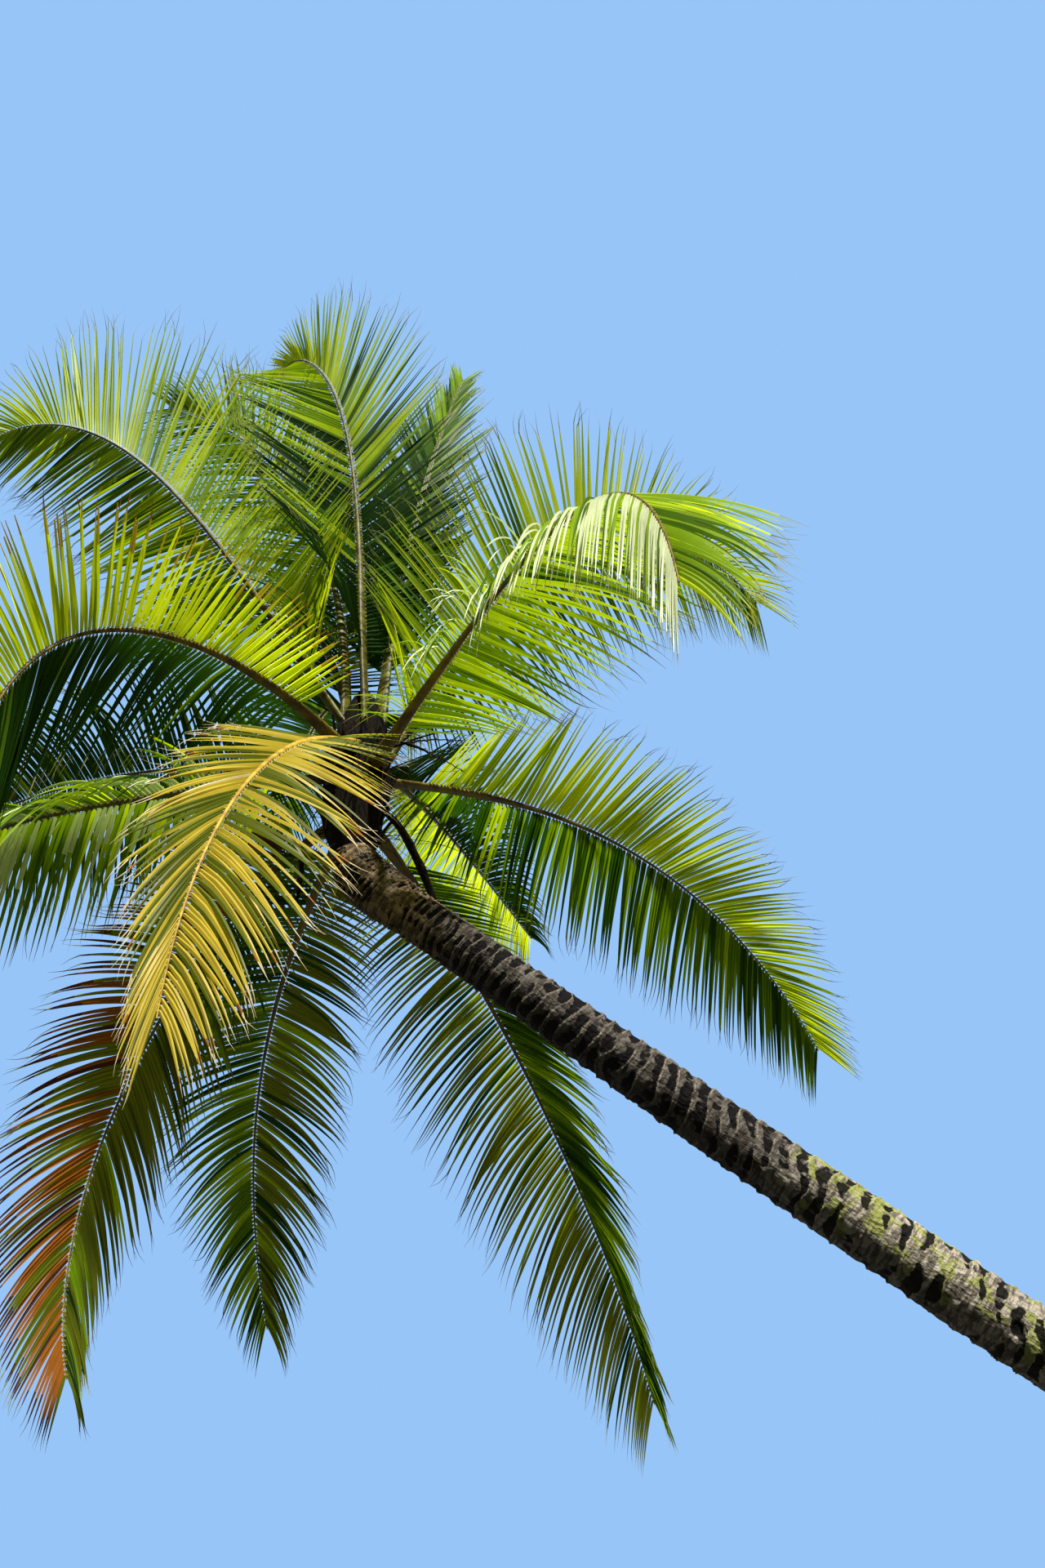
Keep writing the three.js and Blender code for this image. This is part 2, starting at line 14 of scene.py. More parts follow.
import bpy
import numpy as np
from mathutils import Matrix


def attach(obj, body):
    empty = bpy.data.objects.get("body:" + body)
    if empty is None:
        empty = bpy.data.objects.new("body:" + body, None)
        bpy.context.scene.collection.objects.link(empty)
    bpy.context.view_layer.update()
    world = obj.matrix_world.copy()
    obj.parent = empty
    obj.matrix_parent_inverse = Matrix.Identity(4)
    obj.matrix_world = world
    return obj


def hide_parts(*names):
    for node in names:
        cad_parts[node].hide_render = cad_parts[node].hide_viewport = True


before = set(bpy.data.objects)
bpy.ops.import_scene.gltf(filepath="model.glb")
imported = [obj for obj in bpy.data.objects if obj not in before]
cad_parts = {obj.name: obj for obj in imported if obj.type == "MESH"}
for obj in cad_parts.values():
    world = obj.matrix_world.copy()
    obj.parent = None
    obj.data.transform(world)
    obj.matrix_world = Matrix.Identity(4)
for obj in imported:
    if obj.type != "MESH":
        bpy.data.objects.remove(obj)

log = logging.getLogger("palm")

Array = np.ndarray
Pair = tuple[float, float]
Triple = tuple[float, float, float]
Stations = Sequence[Pair]
Colour = Triple
Socket = bpy.types.NodeSocket

SEED = 41
BODY = "root"

# Upwards, against the trunk's lean and square to both
UP = np.array([0.0, 0.0, 1.0])
BACK = np.array([1.0, 0.0, 0.0])
ASIDE = np.array([0.0, 1.0, 0.0])

# Direction that no rod runs in, from which each takes the sides of its section
NEARLY_UP = np.array([0.1, 0.2, 1.0])

# Step along the middle lines of the trunk and the ribs, the same as in the solids
PATH_STEP = 0.02

# Radius of the fibrous heart by height over the trunk's end, the same as in the solids
HEART_PROFILE = (
    (0.0, 0.092), (0.11, 0.135), (0.33, 0.16), (0.6, 0.148), (0.86, 0.112), (1.0, 0.062), (1.04, 0.03),
)


def between(stations: Stations, place: Array | float) -> Array:
    """Read a table of stations along straight lines between them.

    Args:
        stations: Pairs of place and value, in rising order of place.
        place: Places to read.

    Returns:
        The values at those places.
    """
    places, values = zip(*stations)
    return np.interp(place, places, values)


def unit(vectors: Array) -> Array:
    """Scale vectors to length one along their last axis."""
    return vectors / np.maximum(np.linalg.norm(vectors, axis=-1, keepdims=True), 1e-9)


def across(vectors: Array, direction: Array) -> Array:
    """Take out of vectors what lies along a direction of length one, and scale them to one."""
    return unit(vectors - direction * np.sum(vectors * direction, axis=-1, keepdims=True))


def smoothstep(place: Array | float, low: float, high: float) -> Array:
    """Ease from 0 at low to 1 at high."""
    part = np.clip((np.asarray(place) - low) / (high - low), 0.0, 1.0)
    return part * part * (3.0 - 2.0 * part)


def swung(vector: Array, axis: Array, angle: float) -> Array:
    """Turn a vector about an axis of length one, by an angle in radians."""
    along = axis * np.dot(axis, vector)
    return along + (vector - along) * np.cos(angle) + np.cross(axis, vector) * np.sin(angle)


def smooth_line(points: Sequence[Sequence[float]] | Array, count: int) -> Array:
    """Draw a smooth line through points.

    Args:
        points: Places that the line passes through.
        count: Number of places to give.

    Returns:
        Places along the line, from the first point to the last.
    """
    spots = np.asarray(points, float)
    slope = np.gradient(spots, axis=0)
    place = np.linspace(0.0, len(spots) - 1.0, count)
    index = np.minimum(place.astype(int), len(spots) - 2)
    t = (place - index)[:, None]
    near = spots[index] * (2 * t**3 - 3 * t**2 + 1) + slope[index] * (t**3 - 2 * t**2 + t)
    return near + spots[index + 1] * (3 * t**2 - 2 * t**3) + slope[index + 1] * (t**3 - t**2)


def screen(red: int, green: int, blue: int) -> Colour:
    """Turn a colour as seen on a screen, in steps of 255, into the light it stands for."""
    shares = [channel / 255.0 for channel in (red, green, blue)]
    return tuple(s / 12.92 if s <= 0.04045 else ((s + 0.055) / 1.055) ** 2.4 for s in shares)


def drift(rng: np.random.Generator, count: int, reach: float, spread: float = 0.55) -> Array:
    """Make a slow random wander along a row.

    Args:
        rng: Seeded source of chance.
        count: Places in the row.
        reach: Places over which the wander keeps its direction.
        spread: Spread of its turning points round 0.

    Returns:
        One value for each place, mostly between -1 and 1.
    """
    knots = rng.normal(0.0, spread, int(count / reach) + 3)
    return np.interp(np.arange(count) / reach, np.arange(len(knots)), knots)


@dataclass(frozen=True)
class Uneven:
    """How things in a row differ: by a slow wander, with its reach in places, and by chance."""

    wander: float
    reach: int
    chance: float

    def deal(self, rng: np.random.Generator, count: int) -> Array:
        """Deal out the differences for a row of that many."""
        return self.wander * drift(rng, count, self.reach) + rng.normal(0, self.chance, count)


@dataclass(frozen=True)
class Cloud:
    """Cloudy noise, from 0 to 1 until it is spread.

    scale is in waves per metre, detail in octaves of finer noise, and stretch a further scale
    along each axis. Values between the limits are spread over the result.
    """

    scale: float
    detail: float
    stretch: Triple = (1.0, 1.0, 1.0)
    limits: Pair = (0.0, 1.0)
    result: Pair = (0.0, 1.0)


@dataclass(frozen=True)
class Stain:
    """Colour whose cover goes from the first share to the second as a value passes the limits."""

    colour: Colour
    cover: Pair
    limits: Pair = (0.0, 1.0)


class Bench:
    """Lays out the nodes of one material."""

    def __init__(self, name: str) -> None:
        """Start a material with only its output.

        Args:
            name: Name of the material.
        """
        self.material = bpy.data.materials.new(name)
        self.material.use_nodes = True
        self.tree = self.material.node_tree
        self.tree.nodes.clear()
        self.output = self.add("ShaderNodeOutputMaterial")

    def add(self, kind: str, **settings: object) -> bpy.types.Node:
        """Add a node.

        Args:
            kind: Blender's name of the node.
            settings: Properties of the node, or values of its inputs by name with _ for spaces.

        Returns:
            The node.
        """
        node = self.tree.nodes.new(kind)
        for key, value in settings.items():
            words = key.replace("_", " ")
            if words in node.inputs:
                node.inputs[words].default_value = value
            else:
                setattr(node, key, value)
        return node

    def link(self, source: Socket, target: Socket) -> None:
        """Join two sockets."""
        self.tree.links.new(source, target)

    def noise(self, place: Socket, cloud: Cloud) -> Socket:
        """Add cloudy noise that isn't spread yet.

        Args:
            place: Coordinates that the noise is read at.
            cloud: Its kind.

        Returns:
            Socket with values from 0 to 1.
        """
        mapping = self.add("ShaderNodeMapping", Scale=cloud.stretch)
        self.link(place, mapping.inputs["Vector"])
        noise = self.add("ShaderNodeTexNoise", Scale=cloud.scale, Detail=cloud.detail)
        self.link(mapping.outputs["Vector"], noise.inputs["Vector"])
        return noise.outputs["Fac"]

    def cloudy(self, place: Socket, cloud: Cloud) -> Socket:
        """Add cloudy noise that is spread over its result."""
        return self.ramp(self.noise(place, cloud), cloud.limits, cloud.result)

    def ramp(self, source: Socket, limits: Pair, result: Pair = (0.0, 1.0)) -> Socket:
        """Spread values between two limits over a new range.

        Args:
            source: Values to spread.
            limits: Values that become the ends of the new range.
            result: The new range.

        Returns:
            Socket with the spread values.
        """
        node = self.add("ShaderNodeMapRange", interpolation_type="SMOOTHSTEP")
        for name, value in zip(("From Min", "From Max", "To Min", "To Max"), (*limits, *result)):
            node.inputs[name].default_value = value
        self.link(source, node.inputs["Value"])
        return node.outputs["Result"]

    def blend(self, share: Socket, first: Colour | Socket, second: Colour | Socket) -> Socket:
        """Blend two colours.

        Args:
            share: How much of the second colour shows.
            first: Colour, or socket of one, at share 0.
            second: Colour, or socket of one, at share 1.

        Returns:
            Socket with the blended colour.
        """
        node = self.add("ShaderNodeMix", data_type="RGBA")
        self.link(share, node.inputs["Factor"])
        for socket, colour in ((node.inputs[6], first), (node.inputs[7], second)):
            if isinstance(colour, bpy.types.NodeSocket):
                self.link(colour, socket)
            else:
                socket.default_value = (*colour, 1.0)
        return node.outputs[2]

    def stained(self, ground: Socket, stain: Stain, source: Socket) -> Socket:
        """Cover a ground colour with a stain by the value of a source."""
        return self.blend(self.ramp(source, stain.limits, stain.cover), ground, stain.colour)

    def join(self, operation: str, first: Socket, second: Socket) -> Socket:
        """Join two values.

        Args:
            operation: Blender's name of it, such as MULTIPLY or ADD.
            first: First value.
            second: Second value.

        Returns:
            Socket with the joined value.
        """
        node = self.add("ShaderNodeMath", operation=operation)
        self.link(first, node.inputs[0])
        self.link(second, node.inputs[1])
        return node.outputs["Value"]

    def bump(self, height: Socket, depth: float) -> Socket:
        """Raise the surface.

        Args:
            height: Height from 0 to 1.
            depth: What a height of 1 is, in metres.

        Returns:
            Socket with the raised surface's direction.
        """
        node = self.add("ShaderNodeBump", Strength=1.0, Distance=depth)
        self.link(height, node.inputs["Height"])
        return node.outputs["Normal"]

    def here(self) -> Socket:
        """Give the coordinates of the object itself."""
        return self.add("ShaderNodeTexCoord").outputs["Object"]

    def kept(self, name: str, output: str = "Fac") -> Socket:
        """Read a value that the mesh keeps at its points."""
        return self.add("ShaderNodeAttribute", attribute_name=name).outputs[output]

    def coat(self, colour: Socket, height: Socket, depth: float, roughness: float, shine: float) -> None:
        """Finish the material as an opaque coat with a bump.

        Args:
            colour: Its colour.
            height: Height of the bump from 0 to 1.
            depth: What a height of 1 is, in metres.
            roughness: How rough it is.
            shine: How much it mirrors.
        """
        face = self.add("ShaderNodeBsdfPrincipled", Roughness=roughness, Specular_IOR_Level=shine)
        self.link(colour, face.inputs["Base Color"])
        self.link(self.bump(height, depth), face.inputs["Normal"])
        self.link(face.outputs["BSDF"], self.output.inputs["Surface"])


@dataclass(frozen=True)
class LeafFinish:
    """Leaf blade with faint blotches that lets some of the light behind it through."""

    name: str
    colour: Colour
    glow: Colour
    roughness: float = 0.5
    through: float = 0.45
    shine: float = 0.25
    blotches: Cloud = Cloud(7.0, 3.0, limits=(0.3, 0.7))
    blotch_shade: float = 0.8

    def material(self) -> bpy.types.Material:
        """Make the material.

        Returns:
            The material.
        """
        bench = Bench(self.name)
        darker = tuple(channel * self.blotch_shade for channel in self.colour)
        face = bench.add("ShaderNodeBsdfPrincipled", Roughness=self.roughness, Specular_IOR_Level=self.shine)
        blotched = bench.blend(bench.cloudy(bench.here(), self.blotches), self.colour, darker)
        bench.link(blotched, face.inputs["Base Color"])
        back = bench.add("ShaderNodeBsdfTranslucent", Color=(*self.glow, 1.0))
        mix = bench.add("ShaderNodeMixShader", Fac=self.through)
        bench.link(face.outputs["BSDF"], mix.inputs[1])
        bench.link(back.outputs["BSDF"], mix.inputs[2])
        bench.link(mix.outputs["Shader"], bench.output.inputs["Surface"])
        return bench.material


@dataclass(frozen=True)
class RibFinish:
    """Smooth skin of a frond's rib, with streaks along it."""

    name: str
    colour: Colour
    streak: Colour
    roughness: float = 0.5
    shine: float = 0.2
    streaks: Cloud = Cloud(9.0, 4.0, (1.0, 1.0, 2.5), (0.35, 0.65))
    grain: Cloud = Cloud(60.0, 2.0)
    depth: float = 0.002

    def material(self) -> bpy.types.Material:
        """Make the material.

        Returns:
            The material.
        """
        bench = Bench(self.name)
        streaked = bench.blend(bench.cloudy(bench.here(), self.streaks), self.colour, self.streak)
        bench.coat(streaked, bench.noise(bench.here(), self.grain), self.depth, self.roughness, self.shine)
        return bench.material


@dataclass(frozen=True)
class BarkFinish:
    """Grey-brown ringed bark with black bands, pale ridges and lichen on its upper side; painted into it are
    the crown's shadow, shade in its creases and sunk marks, and dappled sunlight on its head.
    """

    name: str = "ringed_bark"
    low: Colour = screen(164, 156, 142)
    middle: Colour = screen(114, 109, 103)
    # Warm tan of the head: partly the bark's own warm brown, partly painted dappled sunlight.
    head: Colour = screen(168, 142, 106)
    # Dark brown of cracks and streaks, also used for the painted shadow of the crown and painted shade in the
    # creases.
    crack_and_shade: Colour = screen(40, 34, 29)
    blotch: Stain = Stain(middle, (0.0, 0.5))
    # Painted shadow of the crown on the upper trunk and under the heart.
    painted_shadow: Stain = Stain(crack_and_shade, (0.0, 0.4))
    streak: Stain = Stain(crack_and_shade, (0.0, 0.45))
    # Darker where the wrinkle bump is low: dark cracks, and painted shade in the creases.
    cracks_and_crease_shade: Stain = Stain(crack_and_shade, (0.7, 0.0), (0.42, 0.56))
    lichen: Stain = Stain(screen(132, 140, 66), (0.0, 0.7), (0.15, 0.55))
    band: Stain = Stain(screen(7, 6, 8), (0.0, 0.97), (0.35, 0.65))
    ridge: Stain = Stain(screen(176, 164, 140), (0.0, 0.35), (0.2, 0.8))
    blotches: Cloud = Cloud(4.0, 5.0, limits=(0.35, 0.65))
    wrinkles: Cloud = Cloud(16.0, 5.0, (0.8, 0.8, 3.5))
    streaks: Cloud = Cloud(42.0, 4.0, (1.0, 1.0, 0.3), (0.42, 0.64))
    ragged: Cloud = Cloud(20.0, 6.0, (1.0, 1.0, 0.7), (0.36, 0.64), (-0.5, 0.5))
    patches: Cloud = Cloud(8.0, 4.0, limits=(0.38, 0.62), result=(-0.5, 0.5))
    patchy: Pair = (-0.5, 0.6)
    ridge_gaps: Pair = (-0.6, 0.0)
    grit: Cloud = Cloud(64.0, 6.0, (1.0, 1.0, 0.5))
    depth: float = 0.014
    roughness: float = 0.9
    shine: float = 0.08

    def material(self) -> bpy.types.Material:
        """Make the material from what the trunk keeps: its straightened place, bands and sides.

        Returns:
            The material.
        """
        bench = Bench(self.name)
        place = bench.kept("bark_place", "Vector")
        wrinkles = bench.noise(place, self.wrinkles)
        ragged = bench.cloudy(place, self.ragged)
        patchy = bench.ramp(bench.join("ADD", ragged, bench.cloudy(place, self.patches)), self.patchy)
        shaft = bench.blend(bench.kept("low_part"), self.middle, self.low)
        ground = bench.blend(bench.kept("head_part"), shaft, self.head)
        for stain, source in (
            (self.blotch, bench.cloudy(place, self.blotches)),
            # Painted shadow of the crown.
            (self.painted_shadow, bench.kept("crown_shadow")),
            (self.streak, bench.cloudy(place, self.streaks)),
            # Dark cracks and painted shade in the creases.
            (self.cracks_and_crease_shade, wrinkles),
            (self.lichen, bench.join("MULTIPLY", bench.kept("lichen"), patchy)),
            (self.band, bench.join("ADD", bench.kept("band"), ragged)),
            (self.ridge, bench.join("MULTIPLY", bench.kept("ridge"), bench.ramp(ragged, self.ridge_gaps))),
        ):
            ground = bench.stained(ground, stain, source)
        rough = bench.join("ADD", bench.noise(place, self.grit), wrinkles)
        bench.coat(ground, rough, self.depth, self.roughness, self.shine)
        return bench.material


@dataclass(frozen=True)
class DryFinish:
    """Dry matter of the crown, such as fibre, bracts and old stalks, with an upright grain."""

    name: str
    colour: Colour
    dark: Colour
    grain: Cloud
    depth: float = 0.004
    roughness: float = 0.9
    shine: float = 0.08

    def material(self) -> bpy.types.Material:
        """Make the material.

        Returns:
            The material.
        """
        bench = Bench(self.name)
        threads = bench.noise(bench.here(), self.grain)
        grained = bench.blend(bench.ramp(threads, self.grain.limits), self.dark, self.colour)
        bench.coat(grained, threads, self.depth, self.roughness, self.shine)
        return bench.material


class Tint(Enum):
    """Finishes that a leaflet can have along its length: leaf colours, with painted sunlight, painted shade
    and painted glints among them.
    """

    SUNLIT = LeafFinish("leaf_sunlit", screen(176, 196, 32), screen(226, 246, 26), through=0.55)
    FRESH = LeafFinish("leaf_fresh", screen(116, 150, 14), screen(188, 216, 12))
    GREEN = LeafFinish("leaf_green", screen(62, 98, 6), screen(124, 160, 4), through=0.42, shine=0.15)
    # Darkest green: painted shade, for leaflets that lie in the crown's shade.
    PAINTED_SHADE = LeafFinish("leaf_painted_shade", screen(22, 54, 4), screen(50, 92, 3), through=0.34, shine=0.1)
    OLIVE = LeafFinish("leaf_olive", screen(90, 100, 14), screen(138, 148, 8), through=0.4)
    # Whitish green: a painted glint of sun and sky on glossy blades, which are also smoother and shinier.
    PAINTED_GLINT = LeafFinish("leaf_painted_glint", screen(208, 216, 176), screen(168, 196, 86), 0.4, 0.3, 0.5)
    YELLOW = LeafFinish("leaf_yellow", screen(184, 166, 52), screen(204, 184, 30), through=0.35)
    STRAW = LeafFinish("leaf_straw", screen(204, 192, 156), screen(214, 196, 140), 0.8, 0.3)
    ORANGE = LeafFinish("leaf_orange", screen(146, 88, 16), screen(168, 102, 6), 0.65, 0.3)
    MAROON = LeafFinish("leaf_maroon", screen(62, 34, 16), screen(92, 46, 10), 0.7, 0.25)
    THREAD = LeafFinish("leaf_thread", screen(132, 136, 76), screen(150, 150, 78), 0.9, 0.25)
    BASE = LeafFinish("leaflet_base", screen(192, 188, 128), screen(160, 160, 70), 0.6, 0.15)


TINTS = list(Tint)


class RibTint(Enum):
    """Finishes of the ribs."""

    GREEN = RibFinish("rib_green", screen(88, 88, 12), screen(50, 42, 10))
    OLIVE = RibFinish("rib_olive", screen(112, 98, 18), screen(62, 48, 14))
    YELLOW = RibFinish("rib_yellow", screen(178, 150, 52), screen(140, 106, 28))


@dataclass(frozen=True)
class Dress:
    """Leaflets along one side of a rib.

    tints holds, for each tint of the blade, its share at the frond's foot and at its tip. reach is
    the leaflets' length as a share of the usual, and swing how much wider their angle with the rib
    is, both the same as in the solids. sag is the pull of gravity, which comes the later along the
    leaflet the larger bend is. turned is the part of a leaflet, from its tip, that has the tint
    called turn, end is the tint of the thread at its tip, crest the part from its base that has a
    painted glint of sun and sky, cut is where a broken leaflet ends, and width is a share of the usual.
    """

    tints: tuple[tuple[Tint, float, float], ...]
    reach: float
    swing: float
    sag: float
    bend: float = 1.5
    turn: Tint = Tint.OLIVE
    turned: float = 0.0
    end: Tint = Tint.THREAD
    # Part from the base that has the painted glint.
    glint_reach: float = 0.0
    cut: float = 1.0
    width: float = 1.0


# Palettes: each tint's share at a frond's foot and at its tip. They mix painted sunlight, painted shade and
# painted glints with the leaves' own greens, by how lit each side of a frond is.
LIVELY = ((Tint.PAINTED_SHADE, 0.1, 0.05), (Tint.GREEN, 0.4, 0.25), (Tint.FRESH, 0.35, 0.4), (Tint.SUNLIT, 0.15, 0.3))
BRIGHT = ((Tint.GREEN, 0.15, 0.05), (Tint.FRESH, 0.4, 0.35), (Tint.SUNLIT, 0.45, 0.6))
MIDDLING = ((Tint.PAINTED_SHADE, 0.3, 0.15), (Tint.GREEN, 0.5, 0.4), (Tint.FRESH, 0.2, 0.45))
HALF_SHADY = ((Tint.PAINTED_SHADE, 0.6, 0.4), (Tint.GREEN, 0.3, 0.4), (Tint.FRESH, 0.1, 0.2))
SHADY = ((Tint.PAINTED_SHADE, 0.85, 0.6), (Tint.GREEN, 0.15, 0.35), (Tint.FRESH, 0.0, 0.05))
# Painted shade at the foot, painted sunlight at the tip.
SHADE_TO_SUN = ((Tint.PAINTED_SHADE, 1.2, 0.0), (Tint.GREEN, 0.3, 0.0), (Tint.FRESH, 0.0, 0.5), (Tint.SUNLIT, 0.0, 1.2))
# Painted shade at the foot, giving way to the leaves' greens at the tip.
SHADED_FOOT = ((Tint.PAINTED_SHADE, 1.0, 0.15), (Tint.GREEN, 0.3, 0.4), (Tint.FRESH, 0.0, 0.6))
# Painted glints: the whitish glint tint grows toward the tip, over the leaves' greens.
GLINTS_TO_TIP = ((Tint.GREEN, 0.5, 0.05), (Tint.PAINTED_GLINT, 0.0, 0.8), (Tint.FRESH, 0.5, 0.15))
YELLOWED = ((Tint.OLIVE, 0.55, 0.4), (Tint.YELLOW, 0.45, 0.55), (Tint.STRAW, 0.0, 0.05))
BROWNED = ((Tint.MAROON, 0.1, 0.3), (Tint.OLIVE, 0.45, 0.15), (Tint.ORANGE, 0.45, 0.55))
OLIVES = ((Tint.PAINTED_SHADE, 0.3, 0.2), (Tint.OLIVE, 0.5, 0.5), (Tint.FRESH, 0.2, 0.3))
SUNNY = ((Tint.FRESH, 0.2, 0.5), (Tint.SUNLIT, 0.8, 0.5))
# Streaks of painted glint and painted shade among the leaves' greens.
GLINT_AND_SHADE_STREAKS = (
    (Tint.PAINTED_SHADE, 0.2, 0.15), (Tint.GREEN, 0.4, 0.25), (Tint.FRESH, 0.25, 0.15), (Tint.PAINTED_GLINT, 0.15, 0.45),
)
# Mostly painted sunlight, with some of the leaves' greens.
MOSTLY_SUNLIT = ((Tint.GREEN, 0.1, 0.05), (Tint.FRESH, 0.25, 0.25), (Tint.SUNLIT, 0.65, 0.7))


@dataclass(frozen=True)
class FrondPlan:
    """Growth of one frond, the same as in the solids, and the leaflets of its two sides.

    seat is the side of the heart that the base sits on, and base its height above the trunk's
    end. The rib sets out towards az and swings by sweep. It sets out at rise and comes down by
    droop, the later the larger late is. The blade rolls about the rib near its foot, and twists
    further to the tip. Angles are in degrees and lengths in metres.
    """

    name: str
    seat: float
    base: float
    length: float
    az: float
    sweep: float
    rise: float
    droop: float
    late: float
    roll: float
    twist: float
    right: Dress
    left: Dress
    rib: RibTint = RibTint.GREEN


# Each side's palette follows how lit that side is, so its painted sunlight and painted shade stand for the
# light on it.
FRONDS = (
    FrondPlan(
        "left_high", 200, 0.8, 4.25, 186, -42, 58, 60, 3.4, 70, 0,
        right=Dress(LIVELY, 1.15, -6, 0.1, width=1.1),
        left=Dress(BRIGHT, 1.4, -4, 0.1),
    ),
    FrondPlan(
        "left_crown", 165, 0.9, 4.05, 150, 2, 87, 49, 1, -55, -40,
        right=Dress(LIVELY, 1.1, -10, 0.2),
        left=Dress(MIDDLING, 1, -5, 0.3),
    ),
    FrondPlan(
        "top", 280, 0.9, 4.05, 173, -56, 85, 63, 3.3, -55, -30,
        right=Dress(SHADE_TO_SUN, 1.15, -14, 0, width=1.1),
        left=Dress(SHADE_TO_SUN, 1.15, -12, 0.1, width=1.1),
    ),
    FrondPlan(
        "top_right", 35, 0.9, 4.05, 69, 3, 84, 17, 1, 25, 0,
        right=Dress(SHADED_FOOT, 0.9, -30, 0.1, width=1.15),
        left=Dress(SHADED_FOOT, 0.9, -30, 0.1, width=1.15),
    ),
    FrondPlan(
        "right_front", 310, 0.47, 4.05, 298, -18, 5, 82, 1.75, -55, 65,
        right=Dress(GLINTS_TO_TIP, 0.9, -8, 2.2, bend=0.5, width=0.55),
        left=Dress(LIVELY, 1, 4, 0.5, width=1.25),
        rib=RibTint.OLIVE,
    ),
    FrondPlan(
        "right_high", 352, 0.45, 4.1, 14, 30, 68, 94, 2.4, -65, 0,
        right=Dress(BRIGHT, 1.15, 5, 0.15, width=1.1),
        left=Dress(LIVELY, 1, 0, 0.6),
    ),
    FrondPlan(
        "right", 40, 0.5, 4.05, 43, 2, 21, 68, 1.6, -45, 0,
        right=Dress(SUNNY, 0.95, -2, 0.1, turn=Tint.PAINTED_SHADE, turned=0.12, width=1.1),
        left=Dress(HALF_SHADY, 1, 0, 0.6, width=1.3),
        rib=RibTint.OLIVE,
    ),
    FrondPlan(
        "back_right", 75, 0.65, 4.05, 83, -16, 28, 32, 1.4, -40, 0,
        right=Dress(SHADY, 0.85, -5, 0.4),
        left=Dress(BRIGHT, 0.95, 0, 0.6),
    ),
    FrondPlan(
        "behind_trunk", 55, 0.24, 4.05, 65, -15, -6, 59, 1, -30, 0,
        right=Dress(MIDDLING, 0.8, -30, 0.4),
        left=Dress(OLIVES, 1.05, 4, 0.6),
        rib=RibTint.OLIVE,
    ),
    FrondPlan(
        "lower_back", 98, 0.37, 3.95, 116, -35, -17, 25, 1.5, 0, 0,
        right=Dress(OLIVES, 0.9, -4, 0.4, width=1.1),
        left=Dress(MIDDLING, 0.9, -4, 0.4, width=1.1),
        rib=RibTint.OLIVE,
    ),
    FrondPlan(
        "lower_left", 145, 0.24, 4.05, 127, 18, 10, 125, 1.2, 30, 0,
        right=Dress(OLIVES, 0.9, -12, 0.5, width=1.15),
        left=Dress(BROWNED, 1, -2, 0.4, turn=Tint.MAROON, turned=0.3, width=1.15),
        rib=RibTint.OLIVE,
    ),
    FrondPlan(
        "yellow_front", 268, 0.62, 2.85, 252, -2, -26, 62, 1, -25, -15,
        right=Dress(YELLOWED, 0.9, -35, 0.3, turn=Tint.ORANGE, turned=0.14, end=Tint.STRAW, width=0.9),
        left=Dress(
            YELLOWED, 0.85, 22, 0.6, bend=0.5, turn=Tint.ORANGE, turned=0.16, end=Tint.STRAW, width=1.1,
        ),
        rib=RibTint.YELLOW,
    ),
    FrondPlan(
        "left_front", 225, 0.6, 3.95, 230, 42, 20, 140, 1, -20, 150,
        right=Dress(SHADY, 1.05, 10, 2.2, bend=0.6, width=1.2),
        left=Dress(
            MOSTLY_SUNLIT, 0.75, 30, 0.1, turn=Tint.YELLOW, turned=0.2, end=Tint.ORANGE, cut=0.88, width=1.2,
        ),
        rib=RibTint.OLIVE,
    ),
    FrondPlan(
        "left_low", 190, 0.47, 3.65, 185, -10, -10, 70, 2.5, 15, 0,
        right=Dress(GLINT_AND_SHADE_STREAKS, 1, 0, 2.2, bend=0.7, glint_reach=0.35, width=1.2),
        left=Dress(GLINT_AND_SHADE_STREAKS, 1, 0, 2.2, bend=0.7, glint_reach=0.35, width=1.2),
    ),
    FrondPlan(
        "left_back", 155, 0.57, 4.05, 150, -10, 21, 29, 1.8, 50, 0,
        right=Dress(SHADY, 1, 0, 0.9, width=1.1),
        left=Dress(SHADY, 0.95, 0, 0.6, width=1.1),
    ),
    FrondPlan(
        "back", 95, 0.78, 3.95, 108, 0, 52, 70, 1.4, 15, 0,
        right=Dress(SHADY, 0.95, 0, 0.4),
        left=Dress(SHADY, 0.95, 0, 0.4),
    ),
    FrondPlan(
        "back_high", 125, 0.85, 3.95, 130, 0, 68, 76, 1.6, -30, 0,
        right=Dress(SHADY, 0.95, 0, 0.3),
        left=Dress(SHADY, 0.95, 0, 0.3),
    ),
)


